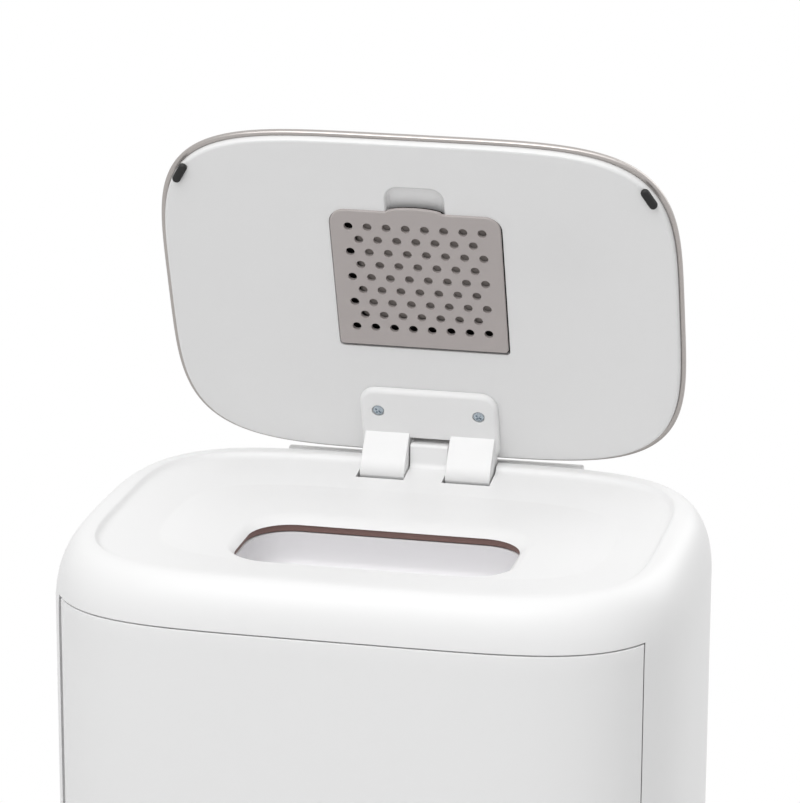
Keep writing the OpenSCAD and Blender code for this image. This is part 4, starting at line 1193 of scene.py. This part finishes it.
@dataclass(frozen=True)
class HingeBracket:
    """The bracket screwed to the lid, with its two arms and their cams."""

    s: BinSizes = BinSizes()
    half_w: float = 37.0
    length: float = 42.5
    thick: float = 4.0
    corner_r: float = 9.0
    arm_in: float = 10.9
    arm_out: float = 35.0
    arm_r: float = 16.4
    cam_rise: float = 7.0
    hub_r: float = 6.2
    fold_u: float = 16.0
    bore_half: float = 38.0
    screw_x: float = 27.0
    screw_u: float = 29.5
    hole_r: float = 3.35

    def arm_outline(self) -> list[Point2]:
        """Returns the side of an arm, about the hinge pin: fold, round front, cam and hub."""
        s = self.s
        plate = s.liner_z - s.hinge_z
        fold = np.array([s.rear_line - self.fold_u - s.hinge_y, plate - self.thick])
        drop = math.sqrt(self.arm_r**2 - self.cam_rise**2)
        cam = []
        for a in math.radians(s.open_angle) * np.arange(19) / 18:
            y, z = -self.cam_rise, -(drop - self.cam_rise * a)
            cam.append((y * math.cos(a) - z * math.sin(a), y * math.sin(a) + z * math.cos(a)))
        start = math.degrees(math.atan2(fold[1], fold[0])) + math.degrees(math.acos(self.arm_r / np.linalg.norm(fold)))
        end = math.degrees(math.atan2(cam[0][1], cam[0][0])) + 360
        front, hub = arc((0, 0), self.arm_r, start, end, 18), arc((0, 0), self.hub_r, -50, 80, 14)
        return [(fold[0], plate), (fold[0], fold[1]), *front, *cam[1:], *hub, (0.0, self.hub_r + 0.2), (0.0, plate)]

    def build(self, lid: Lid) -> Piece:
        """Builds the bracket, opened with the lid that it is screwed to."""
        s = self.s
        top, low, rear = s.liner_z, s.liner_z - self.thick, s.rear_line
        edge = ((2.5, 0), (1.7, 0.13), (1.0, 0.5), (0.45, 1.05), (0.12, 1.75), (0.0, 2.5), (0.0, self.thick))
        ring = block(2 * self.half_w, self.length, self.corner_r, 0, rear - self.length / 2, 12)
        plate = stack("lid_bracket", ring, edge, low)
        carve(plate, box((-lid.pocket_x, rear - lid.pocket_u, low - 1), (lid.pocket_x, rear + 1, top + 1)))
        soften(plate, 0.7, 3)
        outline = [(s.hinge_y + y, s.hinge_z + z) for y, z in self.arm_outline()]
        carve(plate, *both_sides(outline, self.arm_in, self.arm_out, 0.7), how="UNION")
        y = rear - self.screw_u
        holes = [rod((x, y, low - 2), (x, y, low + 1.4), self.hole_r) for x in (-self.screw_x, self.screw_x)]
        carve(plate, *holes, s.hinge_bore(self.bore_half))
        return settle(lid.open(plate), "lid", Looks.WHITE_BRACKET, ["hinge_bracket"], 30)

    def screws(self, lid: Lid) -> Piece:
        """Builds the two cross-headed screws of the bracket."""
        head = screw_head("bracket_cross_screws", 5.9, 1.5, 2.4, 6.0)
        copied(head, Looks.SCREW_STEEL, (2 * self.screw_x, 0.0), (2, 1))
        moved(head, 0, self.s.rear_line - self.screw_u, self.s.liner_z - self.thick)
        return settle(lid.open(head), "lid", Looks.SCREW_STEEL, ["bracket_screws"], 35)


def screw_head(name: str, head_d: float, head_h: float, shank_d: float, length: float) -> Piece:
    """Makes a screw that points up, with a domed head and a cross recess below.

    Args:
        name: the object's name.
        head_d: diameter of the head.
        head_h: height of the head.
        shank_d: diameter of the shank.
        length: length of the shank above the head.

    Returns:
        The screw, its head's underside at the origin.
    """
    r, tip = head_d / 2, head_h + length
    levels = [(0.55 * r, 0.0), (0.82 * r, 0.12), (0.96 * r, 0.38), (r, 0.75), (0.96 * r, head_h)]
    levels += [(shank_d / 2, head_h + 0.01), (shank_d / 2, tip - 0.6), (shank_d / 5, tip)]
    screw = loft(name, [circle(q, z, count=32) for q, z in levels])
    across, reach = 0.08 * head_d, 0.62 * r
    bars = [box((-x, -y, -1), (x, y, 0.75)) for x, y in ((reach, across), (across, reach))]
    return carve(screw, *(moved(bar, 0, 0, 0, turned(38, "Z")) for bar in bars))


# ---------------------------------------------------------------- pedal, base and pail


@dataclass(frozen=True)
class Pedal:
    """The foot pad and its rubber tread, built level and then pressed down."""

    pivot_y: float = 34.5
    pivot_z: float = 22.0
    tilt: float = 4.13
    lever_w: float = 40.0
    lever_t: float = 4.0
    front: float = -162.0
    pad_w: float = 66.0
    pad_l: float = 38.0
    pad_t: float = 6.0
    rib_w: float = 44.0
    rib_l: float = 2.2
    rib_span: float = 18.4
    tread_w: float = 53.6
    tread_l: float = 25.6

    def pressed(self, piece: Piece) -> Piece:
        """Turns a piece drawn on the level pedal to the pressed one."""
        return swung(piece, self.pivot_y, self.pivot_z, self.tilt)

    @property
    def top(self) -> float:
        """Returns the height of the pad's top when it is level."""
        return self.pivot_z + self.lever_t / 2 + self.pad_t

    @property
    def middle(self) -> float:
        """Returns the middle of the pad, front to back."""
        return self.front + self.pad_l / 2

    def pad(self) -> Piece:
        """Builds the moulded pad that sits over the lever's end."""
        t, low = self.top, self.pivot_z - self.lever_t / 2 - 1
        rows = [(0.6, low), (0.0, low + 0.6), (0.0, t - 2.5), (0.4, t - 1.1), (1.2, t - 0.3), (2.4, t)]
        rows += [(5.4, t), (5.9, t - 0.4), (6.0, t - 1.0), (12.0, t - 1.0)]
        pad = stack("pedal_foot_pad", block(self.pad_w, self.pad_l, 12, 0, self.middle, 12, 3.0), rows)
        half = self.lever_w / 2 + 0.1
        carve(pad, box((-half, self.front + 3.9, low - 1), (half, self.front + self.pad_l + 1, self.pivot_z + 2.1)))
        return settle(self.pressed(pad), "pedal", Looks.WHITE_BODY, ["pedal_pad"])

    def tread(self) -> Piece:
        """Builds the rubber tread with its ribs."""
        levels = ((0.0, 0.3), (0.0, 0.9), (0.3, 1.3), (0.7, 1.4))
        rib = stack("pedal_rib_tread", block(self.rib_w, self.rib_l, 1.0), levels, self.top)
        moved(copied(rib, Looks.TREAD_RUBBER, (0.0, self.rib_span), (1, 5)), 0, self.middle, 0)
        ring = block(self.tread_w, self.tread_l, 6.8, 0, self.middle, least_r=6.8)
        sheet = stack("sheet", ring, ((0.0, -0.9), (0.0, 0.3), (0.4, 0.6), (3.0, 0.6)), self.top)
        return settle(self.pressed(joined(rib, sheet)), "pedal", Looks.TREAD_RUBBER, ["pedal_tread"])


@dataclass(frozen=True)
class Base:
    """The tray under the body, its screws and its feet."""

    s: BinSizes = BinSizes()
    foot_x: float = 108.0
    foot_y: float = 72.0
    seat_r: float = 12.3
    screw_x: float = 136.0
    screw_y: float = 92.0
    pin: Point2 = (34.5, 22.0)
    lug_r: float = 6.0

    def tray(self) -> Piece:
        """Builds the tray with its rounded lower edge, the skirt inside the wall and the pedal's lugs."""
        top, (y, z), r = self.s.tray_top, self.pin, self.lug_r
        rows = [(3.4, 4.0), (2.0, 4.25), (1.25, 4.8), (1.0, 5.6), (1.0, 6.7), (1.2, 7.0), (3.4, 7.0), (3.4, top - 0.3)]
        rows += [(3.7, top), (5.6, top), (5.9, top - 0.3), (5.9, 7.0), (12.0, 7.0)]
        tray = stack("base_tray_moulding", self.s.body_oval, rows)
        lug = [*arc((y, z), r, 0, 180, 16), (y - r, 5.0), (y + r, 5.0)]
        joined(tray, *both_sides(lug, 21.0, 26.0, 0.4))
        places = [(x, y) for x in (-self.foot_x, self.foot_x) for y in (-self.foot_y, self.foot_y)]
        seats = [rod((x, y, 3), (x, y, 5), self.seat_r) for x, y in places]
        carve(tray, box((-self.s.pedal_way, -125, 7.01), (self.s.pedal_way, -81, 60)), *seats)
        return settle(tray, "base", Looks.PALE_GREY, ["base_tray"])

    def feet(self) -> Piece:
        """Builds the four rubber feet, each with a grooved ring."""
        levels = [(0.2, 0.0), (9.0, 0.0), (9.3, 0.5), (9.7, 0.5), (10.0, 0.0), (11.4, 0.0), (11.9, 0.5), (12.0, 1.2)]
        levels += [(12.0, 4.7), (0.2, 4.7)]
        foot = loft("grooved_feet", [circle(r, z, count=56) for r, z in levels])
        copied(foot, Looks.TREAD_RUBBER, (2 * self.foot_x, 2 * self.foot_y), (2, 2))
        return settle(foot, "base", Looks.TREAD_RUBBER, ["anti_slip_feet"])

    def screws(self) -> Piece:
        """Builds the four screws of the tray."""
        screw = moved(screw_head("tray_cross_screws", 6.0, 2.0, 3.0, 18.0), 0, 0, 2)
        copied(screw, Looks.SCREW_STEEL, (2 * self.screw_x, 2 * self.screw_y), (2, 2))
        return settle(screw, "base", Looks.SCREW_STEEL, ["base_screws"], 35)


@dataclass(frozen=True)
class Pail:
    """The lift-out pail and the ring that holds its bag."""

    s: BinSizes = BinSizes()
    a: float = 132.0
    b: float = 91.0
    cy: float = -12.0
    low: float = 41.0
    high: float = 466.0

    def ring(self, inset: float, z: float) -> Ring:
        """Returns the pail's outline drawn in, at a height."""
        return oval(self.a - inset, self.b - inset, self.s.body_n, self.s.body_m, z, self.cy, 200)

    def pail(self) -> Piece:
        """Builds the pail with its round foot and turned-out rim."""
        low, high = self.low, self.high
        rows = [(12, low), (5, low), (3.7, low + 0.5), (3.1, low + 1.8), (3, low + 4), (3, high - 2.3)]
        rows += [(2.6, high - 2), (0.3, high - 2), (0, high - 1.6), (0, high - 0.4), (0.4, high), (4.6, high)]
        rows += [(5, high - 0.6), (5, low + 6), (5.6, low + 3), (8, low + 2), (14, low + 2)]
        return settle(stack("pail_moulding", self.ring, rows), "base", Looks.PAIL_GREY, ["inner_pail"])

    def bag_ring(self) -> Piece:
        """Builds the ring that traps the bag on the pail's rim."""
        rows = [(-2.4, -7.2), (-2.4, 1.0), (-1.4, 2.0), (6.2, 2.0), (7.0, 1.3), (7.0, 0), (-0.3, 0), (-0.3, -8.0)]
        piece = stack("bag_clamp_ring", self.ring, [*rows, (-1.8, -8.0)], self.high, closed=True)
        return settle(piece, "base", Looks.PAIL_GREY, ["bag_ring"])


CARRIED_OVER: dict[Looks, tuple[str, ...]] = {
    Looks.PALE_GREY: ("floor_plate", "rear_channel", "chute_collar", "latch_post", "rod_head"),
    Looks.STEEL: ("hinge_pin", "barrier_shaft", "door_strikers", "door_pivots", "pedal_pin", "pedal_lever", "push_rod"),
    Looks.SCREW_STEEL: ("collar_screws",),
    Looks.MAGNET: ("door_magnets",),
}


# ---------------------------------------------------------------- studio


@dataclass(frozen=True)
class Studio:
    """Camera, lights, world and floor."""

    eye: tuple[float, float, float] = (0.4281, -1.8730, 1.2117)
    right: tuple[float, float, float] = (0.9755, 0.2198, 0.0)
    up: tuple[float, float, float] = (-0.0625, 0.2775, 0.9587)
    back: tuple[float, float, float] = (0.2108, -0.9352, 0.2845)
    roll: float = 0.21
    lens: float = 179.33
    ambient: float = 0.5
    white: Colour = (1.0, 1.0, 1.0, 1.0)
    aim: tuple[float, float, float] = (0.0, 0.0, 0.5)

    def camera(self) -> None:
        """Sets the camera at the photograph's place."""
        data = bpy.data.cameras.new("photo_view")
        data.lens, data.sensor_width, data.clip_start, data.clip_end = self.lens, 36.0, 0.05, 60.0
        cam = bpy.data.objects.new("photo_view", data)
        bpy.context.scene.collection.objects.link(cam)
        turn = math.radians(self.roll)
        r, u, b = (Vector(v).normalized() for v in (self.right, self.up, self.back))
        across, rise = math.cos(turn) * r + math.sin(turn) * u, -math.sin(turn) * r + math.cos(turn) * u
        cam.matrix_world = Matrix.Translation(self.eye) @ Matrix((across, rise, b)).transposed().to_4x4()
        bpy.context.scene.camera = cam

    def white_rays(self, g: Graph) -> Socket:
        """Returns 1 for the rays that see the white background, and 0 for the light on the object."""
        path = g.add("ShaderNodeLightPath").outputs
        seen = g.math("ADD", path["Is Camera Ray"], g.math("ADD", path["Is Glossy Ray"], path["Is Transmission Ray"]))
        return g.math("MINIMUM", seen, 1.0)

    def world(self) -> None:
        """Makes a white world whose light on the object is plain and soft."""
        world = bpy.data.worlds.new("soft_white")
        bpy.context.scene.world = world
        world.use_nodes = True
        g = Graph(world.node_tree)
        plain, white = (
            g.add("ShaderNodeBackground", {"Color": self.white, "Strength": power}).outputs[0]
            for power in (self.ambient, 1.0)
        )
        mix = g.add("ShaderNodeMixShader", {0: self.white_rays(g), 1: plain, 2: white})
        g.add("ShaderNodeOutputWorld", {0: mix.outputs[0]})

    def floor(self) -> None:
        """Makes the pale floor, which keeps the bin's shadow and fades to white further off."""
        sheet = new_object("studio_floor", circle(8000.0, -0.5, count=96), [range(96)])
        made = bpy.data.materials.new("pale_floor")
        made.use_nodes = True
        g = Graph(made.node_tree)
        place = g.add("ShaderNodeTexCoord").outputs["Object"]
        pale = g.mix(g.noise(place, 40.0, 3.0).outputs[0], srgb(232, 232, 232), srgb(240, 240, 240))
        matt = g.add("ShaderNodeBsdfDiffuse", {"Color": pale}).outputs[0]
        white = g.add("ShaderNodeEmission", {"Color": self.white, "Strength": 1.0}).outputs[0]
        far = g.add("ShaderNodeVectorMath", {0: place}, operation="LENGTH").outputs["Value"]
        fade = g.ranged(far, 0.25, 0.75, 0.0, 1.0, interpolation_type="SMOOTHSTEP")
        share = g.math("MULTIPLY", fade, self.white_rays(g))
        mix = g.add("ShaderNodeMixShader", {0: share, 1: matt, 2: white})
        g.add("ShaderNodeOutputMaterial", {0: mix.outputs[0]})
        sheet.data.materials.append(made)

    def lamp(self, name: str, place: Sequence[float], size: float, watts: float) -> None:
        """Adds one soft square lamp, whose side is size metres, that points at the bin."""
        data = bpy.data.lights.new(name, "AREA")
        data.shape, data.size, data.energy = "SQUARE", size, watts
        lamp = bpy.data.objects.new(name, data)
        bpy.context.scene.collection.objects.link(lamp)
        lamp.location = place
        lamp.rotation_euler = (Vector(self.aim) - Vector(place)).to_track_quat("-Z", "Y").to_euler()

    def build(self) -> None:
        """Builds the whole studio."""
        bpy.context.scene.view_settings.view_transform = "Standard"
        self.camera()
        self.world()
        self.floor()
        self.lamp("overhead", (0.2, -0.5, 3.0), 2.4, 25.0)
        self.lamp("front_top", (-0.5, -1.7, 2.6), 1.8, 27.5)
        self.lamp("back_fill", (1.6, 2.6, 1.9), 2.2, 20.0)


# ---------------------------------------------------------------- main


def main() -> None:
    """Builds the studio and every sub-assembly, and dresses the CAD nodes that stay."""
    logging.basicConfig(level=logging.INFO, format="%(name)s: %(message)s")
    Studio().build()
    shell = BodyShell()
    lid, bracket = Lid(), HingeBracket()
    opening, door = WasteOpening(shell), Door(shell)
    pedal, base, pail = Pedal(), Base(), Pail()
    steps: list[Callable[[], Piece]] = [
        shell.build, shell.strip, opening.seal, opening.bowl, opening.spring, door.panel, door.stiffener,
        lid.cover, lid.lining, lid.vent, lid.pad, lid.tub_painted_shade, lid.bumpers,
        lambda: bracket.build(lid), lambda: bracket.screws(lid),
        pedal.pad, pedal.tread, base.tray, base.feet, base.screws, pail.pail, pail.bag_ring,
    ]
    for step in steps:
        step()
    for look, names in CARRIED_OVER.items():
        for name in names:
            look.dress(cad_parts[name])


if __name__ == "__main__":
    main()
